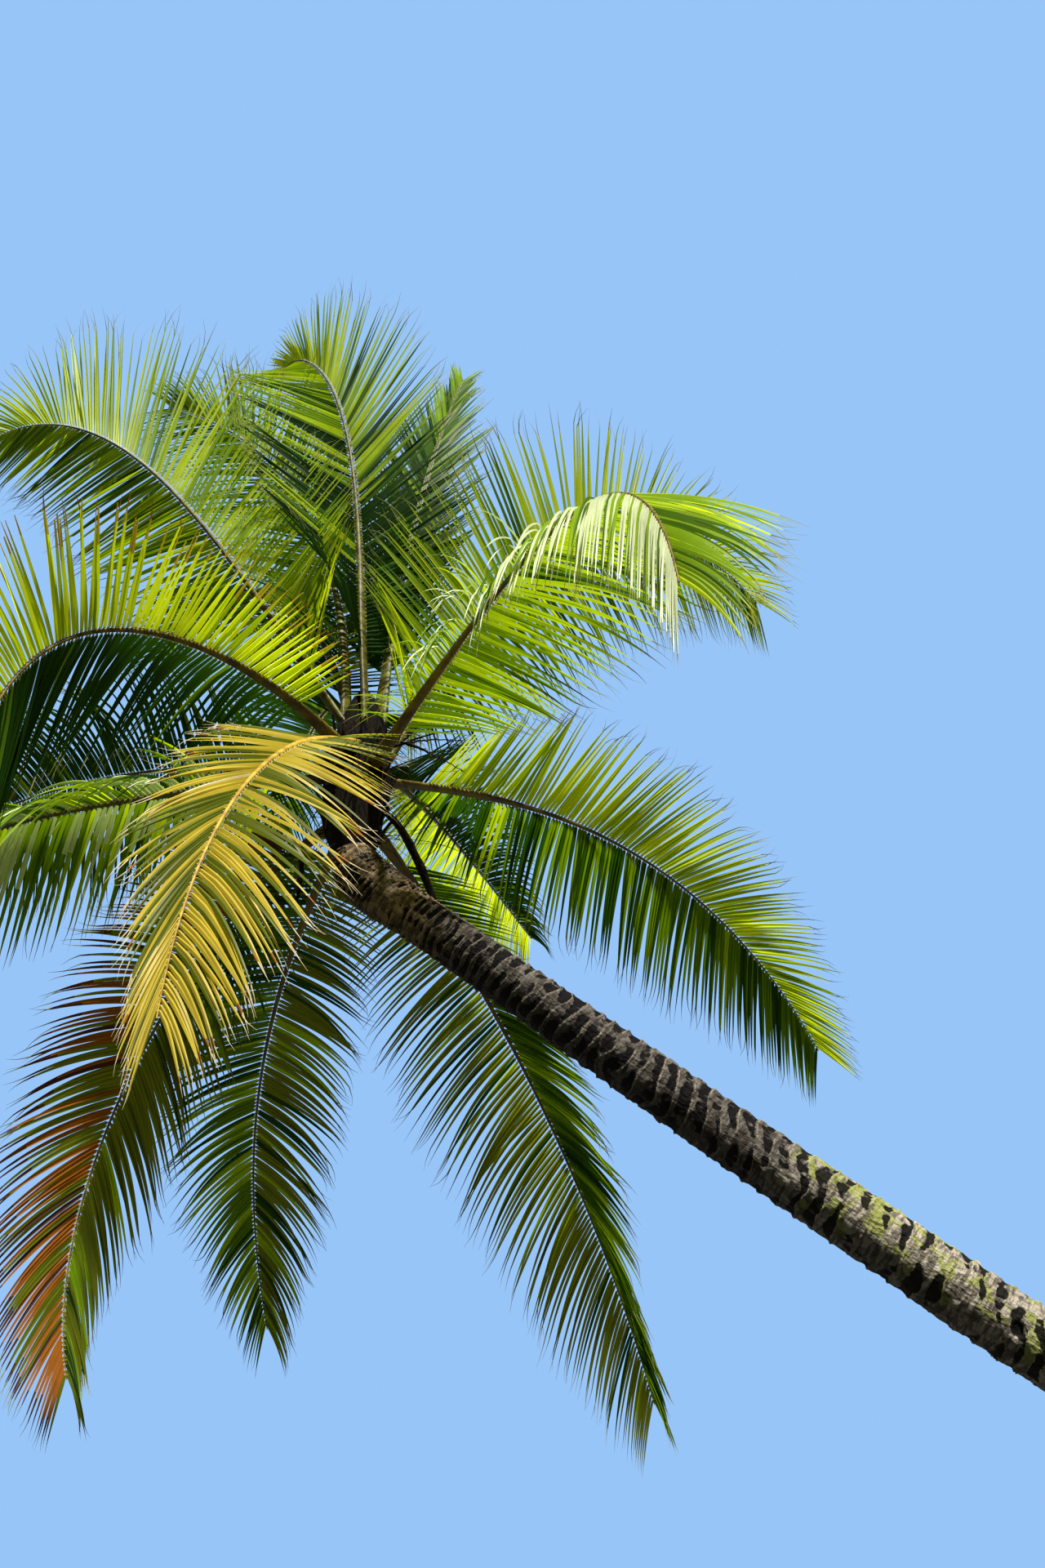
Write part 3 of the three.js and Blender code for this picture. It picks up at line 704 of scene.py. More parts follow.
class Gathering:
    """Points, four-cornered faces and finish numbers that end in one mesh."""

    def __init__(self) -> None:
        """Start with nothing."""
        self.points: list[Array] = []
        self.faces: list[Array] = []
        self.finishes: list[Array] = []
        self.count = 0

    def add(self, points: Array, faces: Array, finishes: Array | int = 0) -> None:
        """Add a patch.

        Args:
            points: Places, with x, y and z along the last axis.
            faces: Point numbers within the patch, four to a face.
            finishes: Finish number of each face, or one for all.
        """
        flat_faces = faces.reshape(-1, 4)
        flat_points = points.reshape(-1, 3)
        self.points.append(flat_points)
        self.faces.append(flat_faces + self.count)
        self.finishes.append(np.broadcast_to(finishes, len(flat_faces)).reshape(-1))
        self.count += len(flat_points)

    def grid(self, rings: Array, finish: int = 0, closed: bool = True) -> None:
        """Add a skin over a row of rings, with its ends shut where it is closed.

        Args:
            rings: Places by ring and by corner.
            finish: Finish number of the faces.
            closed: Whether each ring comes back to its first corner.
        """
        rows, corners = rings.shape[:2]
        numbers = np.arange(rows * corners).reshape(rows, corners)
        ahead = np.roll(numbers, -1, axis=1) if closed else numbers[:, 1:]
        here = numbers if closed else numbers[:, :-1]
        self.add(rings, np.stack([here[:-1], ahead[:-1], ahead[1:], here[1:]], axis=-1), finish)
        if closed:
            self.shut(rings[0][::-1], finish)
            self.shut(rings[-1], finish)

    def shut(self, ring: Array, finish: int) -> None:
        """Close the end of a skin with a row of faces across it.

        Args:
            ring: Places round the end.
            finish: Finish number of the faces.
        """
        half = len(ring) // 2
        near = np.arange(half - 1)
        far = len(ring) - 1 - near
        self.add(ring, np.stack([near, near + 1, far - 1, far], axis=-1), finish)

    def rod(self, middle: Array, radius: float, taper: float, corners: int = 8) -> None:
        """Add a rod along a line.

        Args:
            middle: Places along its middle line.
            radius: Radius at its start.
            taper: Share of the radius that it loses towards its end.
            corners: Corners of its section.
        """
        along = unit(np.gradient(middle, axis=0))
        side = unit(np.cross(along, NEARLY_UP))
        up = np.cross(side, along)
        turn = 2 * np.pi * np.arange(corners) / corners
        reach = (radius * (1 - taper * np.linspace(0.0, 1.0, len(middle))))[:, None, None]
        round_ring = side[:, None] * np.cos(turn)[:, None] + up[:, None] * np.sin(turn)[:, None]
        self.grid((middle[:, None] + reach * round_ring)[:, ::-1])

    def build(self, name: str, materials: Sequence[bpy.types.Material]) -> bpy.types.Object:
        """Make the mesh, shaded as one round surface, and put it in the scene.

        Args:
            name: Name of the piece.
            materials: Materials by finish number; unused ones are left out.

        Returns:
            The new object.
        """
        faces = np.concatenate(self.faces)
        finishes = np.concatenate(self.finishes)
        used = np.unique(finishes)
        mesh = bpy.data.meshes.new(name)
        mesh.from_pydata(np.concatenate(self.points), [], faces)
        for number in used:
            mesh.materials.append(materials[number])
        mesh.polygons.foreach_set("material_index", np.searchsorted(used, finishes).astype(np.int32))
        mesh.polygons.foreach_set("use_smooth", np.ones(len(faces), bool))
        mesh.validate()
        piece = bpy.data.objects.new(name, mesh)
        bpy.context.scene.collection.objects.link(piece)
        return piece


def settle(piece: bpy.types.Object, nodes: Sequence[str]) -> None:
    """Tie a piece to the palm's body and let it stand for its plain solids.

    Args:
        piece: The new piece.
        nodes: Names of the solids that it replaces.
    """
    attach(piece, BODY)
    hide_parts(*nodes)
    log.info("%s: %d faces", piece.name, len(piece.data.polygons))


MADE: dict[str, bpy.types.Material] = {}


def dressed(finish: LeafFinish | RibFinish | BarkFinish | DryFinish) -> bpy.types.Material:
    """Give the material of a finish, made once.

    Args:
        finish: The finish.

    Returns:
        Its material.
    """
    if finish.name not in MADE:
        MADE[finish.name] = finish.material()
    return MADE[finish.name]


@dataclass
class TrunkLine:
    """Middle line and radius of the trunk, from the ground up, the same as in the solids.

    slope holds the angle over the level, and radius the trunk's radius, by distance along it.
    Leaflets come near the trunk only past among_leaflets, and within reach_aside of the upright
    plane that it leans in. batch is how many of their places are measured at once.
    """

    length: float = 9.4
    slope: Stations = (
        (0.0, 44.0), (1.2, 35.0), (3.5, 34.0), (6.0, 37.0), (9.0, 38.0), (9.2, 42.0), (9.4, 78.0),
    )
    radius: Stations = (
        (0.0, 0.265), (0.15, 0.235), (0.4, 0.2), (0.9, 0.172), (1.6, 0.157), (3.5, 0.15),
        (5.5, 0.146), (6.9, 0.138), (8.3, 0.124), (8.9, 0.122), (9.15, 0.136), (9.3, 0.128), (9.4, 0.104),
    )
    among_leaflets: float = 4.7
    reach_aside: float = 0.3
    batch: int = 4000

    def __post_init__(self) -> None:
        """Follow the trunk's slope step by step."""
        self.runs = np.arange(0.0, self.length + PATH_STEP / 2, PATH_STEP)
        steps = self.along(self.runs[:-1] + PATH_STEP / 2) * PATH_STEP
        self.points = np.concatenate([np.zeros((1, 3)), np.cumsum(steps, axis=0)])
        self.end = self.points[-1]

    def place(self, run: Array) -> Array:
        """Give the places on the line at distances from the ground."""
        return np.stack([np.interp(run, self.runs, self.points[:, axis]) for axis in range(3)], axis=-1)

    def along(self, run: Array) -> Array:
        """Give the trunk's direction at distances from the ground."""
        slope = np.radians(between(self.slope, run))
        return np.stack([-np.cos(slope), np.zeros_like(slope), np.sin(slope)], axis=-1)

    def clear(self, points: Array, gap: float) -> Array:
        """Tell which points keep a gap from the heart and from the trunk among the leaflets.

        Args:
            points: Places, with x, y and z along the last axis.
            gap: Least distance to keep.

        Returns:
            True for each point that is clear.
        """
        upper = self.runs > self.among_leaflets
        line = self.points[upper]
        reach = between(self.radius, self.runs[upper]) + gap
        flat = points.reshape(-1, 3)
        fine = np.ones(len(flat), bool)
        near = np.flatnonzero(np.abs(flat[:, 1]) < self.reach_aside)
        for part in np.array_split(near, max(1, len(near) // self.batch)):
            away = np.linalg.norm(flat[part, None, :] - line[None, :, :], axis=-1)
            fine[part] = np.all(away > reach, axis=1)
        rise = flat[:, 2] - self.end[2]
        heart = between(HEART_PROFILE, rise) + gap
        off = np.hypot(flat[:, 0] - self.end[0], flat[:, 1] - self.end[1])
        fine &= (off > heart) | (rise < 0) | (rise > HEART_PROFILE[-1][0])
        return fine.reshape(points.shape[:-1])


@dataclass
class Rib:
    """Middle line, directions and thickness of one frond's rib, the same as in the solids.

    half_width and half_depth go by share of the rib's length, and start inside the heart. The
    base lies heart_reach from the heart's middle, and sheath is how far back from it the rib may
    go. The rib swings late, by sweep_power, and its blade has rolled by the share roll_run.
    """

    plan: FrondPlan
    foot: Array
    half_width: Stations = (
        (-0.1, 0.06), (0.0, 0.048), (0.1, 0.028), (0.3, 0.014), (0.5, 0.009), (1.0, 0.003),
    )
    half_depth: Stations = ((-0.1, 0.026), (0.0, 0.024), (0.1, 0.017), (0.5, 0.008), (1.0, 0.003))
    heart_reach: float = 0.1
    sheath: float = 0.3
    sweep_power: float = 1.5
    roll_run: float = 0.3

    def __post_init__(self) -> None:
        """Follow the rib from its base on the heart, over the trunk's end."""
        plan = self.plan
        seat = np.radians(plan.seat)
        start = self.foot + np.array([np.cos(seat), np.sin(seat), 0.0]) * self.heart_reach + UP * plan.base
        count = round(plan.length / PATH_STEP)
        along = self.frames((np.arange(count) + 0.5) / count)[0]
        self.points = np.concatenate([start[None], start + np.cumsum(along, axis=0) * plan.length / count])
        self.runs = np.linspace(0.0, plan.length, count + 1)

    def frames(self, fraction: Array) -> tuple[Array, Array, Array]:
        """Give the rib's direction and the sides of its blade.

        Args:
            fraction: Places by share of the rib's length.

        Returns:
            Directions along the rib, to its right side and out of its upper face.
        """
        plan = self.plan
        part = np.maximum(0.0, fraction)
        rise = np.radians(plan.rise - plan.droop * part**plan.late)
        az = np.radians(plan.az + plan.sweep * part**self.sweep_power)
        level = np.cos(rise)
        along = np.stack([level * np.cos(az), level * np.sin(az), np.sin(rise)], axis=-1)
        roll = np.radians(plan.roll * smoothstep(part, 0.0, self.roll_run) + plan.twist * part)[..., None]
        flat = np.stack([np.sin(az), -np.cos(az), np.zeros_like(az)], axis=-1)
        side = flat * np.cos(roll) + np.cross(along, flat) * np.sin(roll)
        return along, side, np.cross(side, along)

    def place(self, run: Array) -> Array:
        """Give places on the rib; before its base it runs straight back into the heart."""
        spots = np.stack([np.interp(run, self.runs, self.points[:, axis]) for axis in range(3)], axis=-1)
        return spots + self.frames(np.zeros(1))[0] * np.minimum(run, 0.0)[:, None]

    def root_run(self) -> float:
        """Tell how far back the rib reaches into the heart."""
        return -min(self.sheath, self.heart_reach / np.cos(np.radians(self.plan.rise)))

    def girth(self, run: Array) -> tuple[Array, Array]:
        """Give the rib's half width and half depth at distances from its base."""
        share = run / self.plan.length
        return between(self.half_width, share), between(self.half_depth, share)


@dataclass
class Leaflets:
    """Leaflets along one side of a rib, by the rule of the solids but finer and uneven.

    Lengths are in metres, angles in degrees, and places along a leaflet are shares of its length.
    """

    rib: Rib
    dress: Dress
    hand: int
    trunk: TrunkLine
    rng: np.random.Generator
    first: float = 0.38
    bare_end: float = 0.02
    pitch: float = 0.028
    pitch_chance: float = 0.2
    full_length: float = 0.84
    length_chance: float = 0.035
    size_at_foot: float = 0.6
    size_swell: float = 1.75
    size_lost_at_tip: float = 0.12
    angles: Stations = ((0.0, 74.0), (0.5, 58.0), (1.0, 26.0))
    angle_uneven: Uneven = Uneven(4.0, 5, 1.0)
    closest_angle: float = 12.0
    rise: float = 14.0
    rise_uneven: Uneven = Uneven(6.0, 4, 2.0)
    seat_aside: float = 0.85
    seat_up: float = 0.3
    sag_at_foot: float = 0.4
    sag_growth: float = 1.2
    sag_gain: float = 1.6
    sag_uneven: Uneven = Uneven(0.35, 3, 0.14)
    sag_limits: Pair = (0.3, 2.2)
    curl_chance: float = 0.35
    curl_from: float = 0.8
    turn_chance: float = 22.0
    turn_wander: float = 12.0
    turn_reach: int = 6
    broken_share: float = 0.75
    broken_spread: Pair = (0.86, 1.08)
    shortest: float = 0.4
    turned_spread: Pair = (0.55, 1.45)
    glint_spread: Pair = (-1.0, 1.8)
    tint_uneven: Uneven = Uneven(0.3, 4, 0.16)
    tint_limits: Pair = (0.001, 0.999)
    whole_from: float = 0.95
    thread_from: float = 0.88
    clearance: float = 0.015
    shrink_tries: tuple[float, ...] = (0.8, 0.6, 0.4)
    sections: int = 13
    base_share: float = 0.013
    width: float = 0.032
    least_width: float = 0.55
    narrower_at_tip: float = 0.25
    profile: Stations = (
        (0.0, 0.3), (0.012, 0.8), (0.15, 1.0), (0.35, 0.86), (0.6, 0.58), (0.8, 0.29), (0.9, 0.12),
        (1.0, 0.03),
    )
    fold: Stations = ((0.0, 64.0), (0.012, 38.0), (0.5, 30.0), (1.0, 16.0))

    def __post_init__(self) -> None:
        """Deal out the leaflets' places, lengths, directions and habits."""
        span = self.rib.plan.length
        even = np.arange(self.first, span - self.bare_end, self.pitch)
        self.count = len(even)
        self.runs = even + self.rng.uniform(-self.pitch_chance, self.pitch_chance, self.count) * self.pitch
        self.fraction = np.clip((self.runs - self.first) / (span - self.first), 0.0, 1.0)
        swell = self.size_swell * self.fraction * (1 - self.fraction)
        self.size = self.size_at_foot + swell - self.size_lost_at_tip * self.fraction**4
        chance = self.rng.normal(0, self.length_chance, self.count)
        self.lengths = self.full_length * self.size * self.dress.reach * (1 + chance)
        self.aim()
        self.deal_habits()
        self.shrink = np.ones(self.count)
        self.avoid_trunk()

    def aim(self) -> None:
        """Work out where the leaflets sit on the rib and the directions that they set out in."""
        angle = np.maximum(self.closest_angle, between(self.angles, self.fraction) + self.dress.swing)
        angle = np.radians(angle + self.angle_uneven.deal(self.rng, self.count))[:, None]
        rise = np.radians(self.rise + self.rise_uneven.deal(self.rng, self.count))[:, None]
        along, side, face = self.rib.frames(self.runs / self.rib.plan.length)
        aside = side * self.hand
        out = aside * np.cos(rise) + face * np.sin(rise)
        self.heading = along * np.cos(angle) + out * np.sin(angle)
        self.broad = across(along, self.heading)
        self.face = across(face, self.heading)
        width, depth = self.rib.girth(self.runs)
        seat = aside * (width * self.seat_aside)[:, None] + face * (depth * self.seat_up)[:, None]
        self.root = self.rib.place(self.runs) + seat

    def deal_habits(self) -> None:
        """Deal out how each leaflet sags, curls, turns, breaks off and is coloured."""
        dress, rng, count = self.dress, self.rng, self.count
        pull = np.clip(1 + self.sag_uneven.deal(rng, count), *self.sag_limits)
        self.sag = dress.sag * (self.sag_at_foot + self.sag_growth * self.fraction) * pull
        self.curl = rng.normal(0, self.curl_chance, (count, 2))
        chance = rng.normal(0, self.turn_chance, count)
        self.turn = np.radians(chance + self.turn_wander * drift(rng, count, self.turn_reach))
        broken = (rng.random(count) < self.broken_share) & (dress.cut < 1)
        stump = np.clip(dress.cut * rng.uniform(*self.broken_spread, count), self.shortest, 1.0)
        self.end = np.where(broken, stump, 1.0)
        self.whole = self.end > self.whole_from
        self.turned = dress.turned * rng.uniform(*self.turned_spread, count)
        self.glint_reach = dress.glint_reach * rng.uniform(*self.glint_spread, count)
        self.choice = np.clip(0.5 + self.tint_uneven.deal(rng, count), *self.tint_limits)

    def avoid_trunk(self) -> None:
        """Shorten leaflets that would meet the trunk or the heart, and drop those that still do."""
        for smaller in (*self.shrink_tries, 0.0):
            blocked = ~np.all(self.trunk.clear(self.lines()[:, 2:], self.clearance), axis=1)
            if not blocked.any():
                return
            self.shrink[blocked] = smaller

    def lines(self) -> Array:
        """Follow the leaflets' middle lines.

        Returns:
            Places by leaflet and by section.
        """
        steps = (np.arange(self.sections) + 0.5) / self.sections
        share = steps[None, :] * self.end[:, None]
        pull = self.sag[:, None] * self.sag_gain * share**self.dress.bend
        tip = smoothstep(share, self.curl_from, 1.0) * self.whole[:, None]
        way = self.heading[:, None, :] - UP * pull[..., None]
        way = way + self.broad[:, None, :] * (self.curl[:, 0:1] * tip)[..., None]
        way = unit(way + self.face[:, None, :] * (self.curl[:, 1:2] * tip)[..., None])
        step = (self.lengths * self.end * self.shrink / self.sections)[:, None, None]
        start = self.root[:, None]
        return np.concatenate([start, start + np.cumsum(way * step, axis=1)], axis=1)

    def tints(self) -> Array:
        """Deal out the tints.

        Returns:
            Number in TINTS for each section of each leaflet.
        """
        names, foot, tip = zip(*self.dress.tints)
        fraction = self.fraction[:, None]
        weights = np.array(foot) * (1 - fraction) + np.array(tip) * fraction
        limits = np.cumsum(weights, axis=1) / np.sum(weights, axis=1, keepdims=True)
        numbers = np.array([TINTS.index(name) for name in names])
        chosen = numbers[np.sum(self.choice[:, None] > limits, axis=1)]
        place = ((np.arange(self.sections) + 0.5) / self.sections)[None, :] * self.end[:, None]
        dealt = np.broadcast_to(chosen[:, None], place.shape).copy()
        dealt[place > (self.end - self.turned)[:, None]] = TINTS.index(self.dress.turn)
        dealt[(place > self.thread_from) & self.whole[:, None]] = TINTS.index(self.dress.end)
        # The part near the base gets the painted glint.
        dealt[place < self.glint_reach[:, None]] = TINTS.index(Tint.PAINTED_GLINT)
        dealt[:, 0] = TINTS.index(Tint.BASE)
        return dealt

    def gather(self, gathering: Gathering) -> None:
        """Add the leaflets as blades folded along their middle line.

        Args:
            gathering: Where they go.
        """
        kept = self.shrink > 0
        lines = self.lines()[kept]
        place = np.linspace(0.0, 1.0, self.sections + 1)
        place[1] = self.base_share
        start = lines[:, :1]
        lines[:, 1:2] = start + (lines[:, 1:2] - start) * self.base_share * self.sections
        share = place[None, :] * self.end[kept][:, None]
        tangent = unit(np.gradient(lines, axis=1))
        broad = across(self.broad[kept][:, None, :], tangent)
        thick = np.cross(tangent, broad)
        thick = thick * np.sign(np.sum(thick * self.face[kept][:, None, :], axis=-1, keepdims=True))
        turn = (self.turn[kept][:, None] * share)[..., None]
        turned = broad * np.cos(turn) + thick * np.sin(turn)
        upright = thick * np.cos(turn) - broad * np.sin(turn)
        half = (self.widths()[kept] / 2 * between(self.profile, share))[..., None]
        fold = np.radians(between(self.fold, share))[..., None]
        drop = upright * half * np.sin(fold)
        spread = turned * half * np.cos(fold)
        points = np.stack([lines - spread - drop, lines, lines, lines + spread - drop], axis=2)
        numbers = np.arange(points.size // 3).reshape(points.shape[:3])
        near, far = numbers[:, :-1], numbers[:, 1:]
        halves = [
            np.stack([near[..., left], near[..., left + 1], far[..., left + 1], far[..., left]], axis=-1)
            for left in (0, 2)
        ]
        finishes = np.repeat(self.tints()[kept][:, :, None], 2, axis=2).reshape(-1)
        gathering.add(points, np.stack(halves, axis=2), finishes)

    def widths(self) -> Array:
        """Give each leaflet's greatest width, one a row."""
        grown = self.width * self.dress.width * (self.least_width + (1 - self.least_width) * self.size)
        return (grown * (1 - self.narrower_at_tip * self.fraction**2))[:, None]


@dataclass
class Fronds:
    """Group of fronds whose leaflets and ribs are each joined in one piece."""

    name: str
    slot: str
    plans: Sequence[FrondPlan]
    trunk: TrunkLine
    rng: np.random.Generator
    rib_sides: int = 10
    rib_step: float = 0.045
    squareness: float = 0.8
    depth_above: float = 0.8

    def build(self, nodes: Sequence[str]) -> None:
        """Grow the ribs and the leaflets, and let them stand for their plain solids.

        Args:
            nodes: Names of all the solids of the palm.
        """
        leaflets, ribs = Gathering(), Gathering()
        for plan in self.plans:
            rib = Rib(plan, self.trunk.end)
            self.add_rib(rib, ribs)
            for hand, dress in ((1, plan.right), (-1, plan.left)):
                Leaflets(rib, dress, hand, self.trunk, self.rng).gather(leaflets)
        stood_for = [node for node in nodes for plan in self.plans if self.belongs(node, plan)]
        leaf_materials = [dressed(tint.value) for tint in TINTS]
        rib_materials = [dressed(tint.value) for tint in RibTint]
        settle(leaflets.build(f"leaflets_{self.name}", leaf_materials), stood_for)
        settle(ribs.build(f"ribs_{self.name}", rib_materials), stood_for)

    @staticmethod
    def belongs(node: str, plan: FrondPlan) -> bool:
        """Tell whether a solid is the whole or a part of a frond."""
        return node in (f"frond_{plan.name}", f"frond_{plan.name}_inner", f"frond_{plan.name}_outer")

    def add_rib(self, rib: Rib, gathering: Gathering) -> None:
        """Add the rib as a rounded, tapering rod that is flatter above.

        Args:
            rib: Its middle line and thickness.
            gathering: Where it goes.
        """
        count = round((rib.plan.length - rib.root_run()) / self.rib_step)
        runs = np.linspace(rib.root_run(), rib.plan.length, count)
        _, side, face = rib.frames(runs / rib.plan.length)
        width, depth = rib.girth(runs)
        turn = 2 * np.pi * (np.arange(self.rib_sides) + 0.5) / self.rib_sides
        wide = np.sign(np.cos(turn)) * np.abs(np.cos(turn)) ** self.squareness
        deep = np.sin(turn) * np.where(np.sin(turn) > 0, self.depth_above, 1.0)
        rings = rib.place(runs)[:, None] + side[:, None] * (width[:, None] * wide)[..., None]
        rings = rings + face[:, None] * (depth[:, None] * deep)[..., None]
        gathering.grid(rings[:, ::-1], list(RibTint).index(rib.plan.rib))


@dataclass(frozen=True)
class Waves:
    """Kind of waves that roughen a round surface: how many, how close and with how many lobes."""

    count: int
    per_metre: float
    lobes: int

    def deal(self, rng: np.random.Generator, run: Array, turn: Array) -> Array:
        """Deal out waves that meet themselves after each turn.

        Args:
            rng: Seeded source of chance.
            run: Distances along the surface.
            turn: Angles round it.

        Returns:
            Height of the waves, mostly between -1 and 1.
        """
        pitches = rng.uniform(-self.per_metre, self.per_metre, self.count) * 2 * np.pi
        lobes = rng.integers(-self.lobes, self.lobes + 1, self.count)
        phases = rng.uniform(0, 2 * np.pi, self.count)
        total = np.zeros(np.broadcast(run, turn).shape)
        for pitch, lobe, phase in zip(pitches, lobes, phases):
            total = total + np.sin(pitch * run + lobe * turn + phase)
        return total / np.sqrt(self.count)


@dataclass(frozen=True)
class Mark:
    """Hole or knot in the bark: place along and round the trunk, reach and depth."""

    run: float
    turn: float
    reach: float
    depth: float
    edge: Pair = (0.6, 1.3)

    def inside(self, run: Array, turn: Array, radius: Array) -> Array:
        """Tell how much points of the trunk are inside the mark.

        Args:
            run: Distances from the ground.
            turn: Angles round the trunk.
            radius: Radius of the trunk.

        Returns:
            From 0 outside to 1 inside, over the edge in shares of the reach.
        """
        off = np.hypot(run - self.run, radius * (turn - np.radians(self.turn)))
        return 1 - smoothstep(off / self.reach, *self.edge)


@dataclass
class Trunk:
    """Ringed trunk, from the flat cut at the ground to its swollen head.

    Old fronds left rings, each a ridge with a sunk band over it that is black on one side. Places
    on the trunk are in metres from the ground, those within a ring are shares of it, and grain
    holds the space between rows of points.
    """

    line: TrunkLine
    rng: np.random.Generator
    finish: BarkFinish = BarkFinish()
    sides: int = 76
    grain: Stations = ((0.0, 0.009), (5.2, 0.007), (8.4, 0.005))
    flare_length: float = 0.7
    flat_foot: Pair = (0.0, 0.04)
    ring_pitch: Stations = (
        (0.0, 0.1), (6.2, 0.096), (7.5, 0.086), (8.3, 0.066), (8.9, 0.038), (9.4, 0.027),
    )
    ring_step: float = 0.01
    slow: Waves = Waves(14, 0.9, 2)
    quick: Waves = Waves(18, 6.0, 5)
    patchy: Waves = Waves(24, 3.5, 4)
    grit: Waves = Waves(26, 30.0, 24)
    ring_sway: float = 0.3
    ring_jitter: float = 0.12
    head_jitter: float = 0.1
    ridge_width: float = 0.08
    ridge_height: float = 0.008
    ridge_least: float = 0.8
    ridge_uneven: float = 0.4
    band_starts: Pair = (0.05, 0.14)
    band_ends: Pair = (0.36, 0.56)
    band_uneven: float = 0.2
    band_broader: float = 0.1
    broader_over: Pair = (6.4, 6.9)
    band_depth: float = 0.004
    band_least: float = 0.4
    band_black: float = 0.95
    head_paler: float = 0.25
    sway_height: float = 0.004
    grit_height: float = 0.0014
    black_side: float = 55.0
    black_lean: float = 0.4
    black_patchy: float = 0.7
    black_limits: Pair = (-0.2, 0.3)
    blackness: Stations = (
        (0.0, 0.1), (5.6, 0.1), (6.5, 0.2), (6.9, 0.4), (8.3, 0.3), (8.8, -0.15), (9.4, -0.2),
    )
    damp_side: float = 110.0
    lichen_patchy: float = 0.3
    lichen_limits: Pair = (-0.1, 0.6)
    lichen_gone: Pair = (6.45, 6.95)
    # Painted shadow of the crown: where it sets in, where it thins on the head and where it comes back under
    # the heart.
    shadow_comes: Pair = (6.5, 7.1)
    shadow_thins: Pair = (8.3, 8.9)
    shadow_lost: float = 0.8
    shadow_under_heart: Pair = (9.15, 9.3)
    head_part: Pair = (8.5, 9.0)
    # Sunk hole and knot; the black in them is painted shade.
    marks: tuple[Mark, ...] = (Mark(5.88, 124.0, 0.014, 0.016), Mark(5.63, 70.0, 0.034, 0.014))
    mark_shade: float = 1.2

    def build(self) -> None:
        """Build the trunk with its relief and give it its bark."""
        runs = self.rings()
        turn = 2 * np.pi * np.arange(self.sides) / self.sides
        along = self.line.along(runs)
        share = np.minimum(1.0, runs / self.flare_length)[:, None]
        facing = unit(UP * (1 - share) + along * share)
        side = unit(np.cross(facing, ASIDE))
        stretch = 1 / np.sum(facing * along, axis=1)
        radius = between(self.line.radius, runs)[:, None]
        height, kept = self.relief(runs[:, None], turn[None, :], radius)
        full = radius + height * smoothstep(runs, *self.flat_foot)[:, None]
        out = side[:, None, :] * (full * np.cos(turn) * stretch[:, None])[..., None]
        points = self.line.place(runs)[:, None, :] + out - ASIDE * (full * np.sin(turn))[..., None]
        gathering = Gathering()
        gathering.grid(points)
        piece = gathering.build("trunk_bark", [dressed(self.finish)])
        level = np.broadcast_to(runs[:, None], height.shape)
        straight = np.stack([radius * np.cos(turn), radius * np.sin(turn), level], axis=-1)
        self.keep(piece, "bark_place", straight)
        for name, values in kept.items():
            self.keep(piece, name, values[..., None])
        settle(piece, ["trunk"])

    def rings(self) -> Array:
        """Space the rings of points, closer where the bark's rings are closer.

        Returns:
            Distances from the ground.
        """
        stops = [start for start, _ in self.grain[1:]] + [self.line.length]
        stretches = [
            np.linspace(start, stop, round((stop - start) / step), endpoint=False)
            for (start, step), stop in zip(self.grain, stops)
        ]
        return np.concatenate([*stretches, [self.line.length]])

    def relief(self, run: Array, turn: Array, radius: Array) -> tuple[Array, dict[str, Array]]:
        """Work out the rings of the bark.

        Args:
            run: Distances from the ground, one a row.
            turn: Angles round the trunk, one a column.
            radius: Radius of the plain trunk, one a row.

        Returns:
            Height of the surface over the plain trunk, and how much each point is in a band, on
            a ridge, under lichen and so on, by name.
        """
        fine_runs = np.arange(0.0, self.line.length + self.ring_step, self.ring_step)
        passed = np.cumsum(self.ring_step / between(self.ring_pitch, fine_runs))
        slow = self.slow.deal(self.rng, run, turn)
        quick = self.quick.deal(self.rng, run, turn)
        patchy = self.patchy.deal(self.rng, run, turn)
        grit = self.grit.deal(self.rng, run, turn)
        head = smoothstep(run, *self.head_part)
        jitter = self.ring_jitter + self.head_jitter * head
        phase = np.interp(run, fine_runs, passed) + self.ring_sway * slow + jitter * quick
        part = phase - np.floor(phase)
        ridge = np.clip(1 - np.minimum(part, 1 - part) / self.ridge_width, 0, 1)
        broad = self.band_uneven * patchy + self.band_broader * smoothstep(run, *self.broader_over)
        sunk = smoothstep(part, *self.band_starts) * (1 - smoothstep(part - broad, *self.band_ends))
        dark = self.black_lean * np.cos(turn - np.radians(self.black_side)) + self.black_patchy * patchy
        dark = smoothstep(dark + between(self.blackness, run), *self.black_limits)
        low = 1 - smoothstep(run, *self.lichen_gone)
        damp = np.cos(turn - np.radians(self.damp_side)) + self.lichen_patchy * patchy
        lichen = smoothstep(damp, *self.lichen_limits) * low
        height = self.ridge_height * ridge * (self.ridge_least + self.ridge_uneven * quick)
        height = height - self.band_depth * sunk * (self.band_least + dark)
        height = height + self.grit_height * grit + self.sway_height * slow
        band = self.band_black * sunk * dark * (1 - self.head_paler * head)
        for mark in self.marks:
            inside = mark.inside(run, turn, radius)
            height = height - mark.depth * inside
            # Painted shade inside the sunk marks.
            band = np.maximum(band, self.mark_shade * inside)
            lichen = lichen * (1 - inside)
        even = np.ones_like(turn)
        return height, {
            "band": band, "ridge": ridge, "lichen": lichen, "low_part": low * even, "head_part": head * even,
            # The darkness along the run below is painted shadow of the crown.
            "crown_shadow": self.painted_shadow(run) * even,
        }

    def painted_shadow(self, run: Array) -> Array:
        """Tell how much painted shadow of the crown lies on the bark: it sets in below the crown, thins on
        the head and is full again under the heart.

        Args:
            run: Distances from the ground.

        Returns:
            From 0 for none to 1 for the darkest.
        """
        thinned = 1 - self.shadow_lost * smoothstep(run, *self.shadow_thins)
        crown_shadow = smoothstep(run, *self.shadow_comes) * thinned + smoothstep(run, *self.shadow_under_heart)
        return np.minimum(crown_shadow, 1.0)

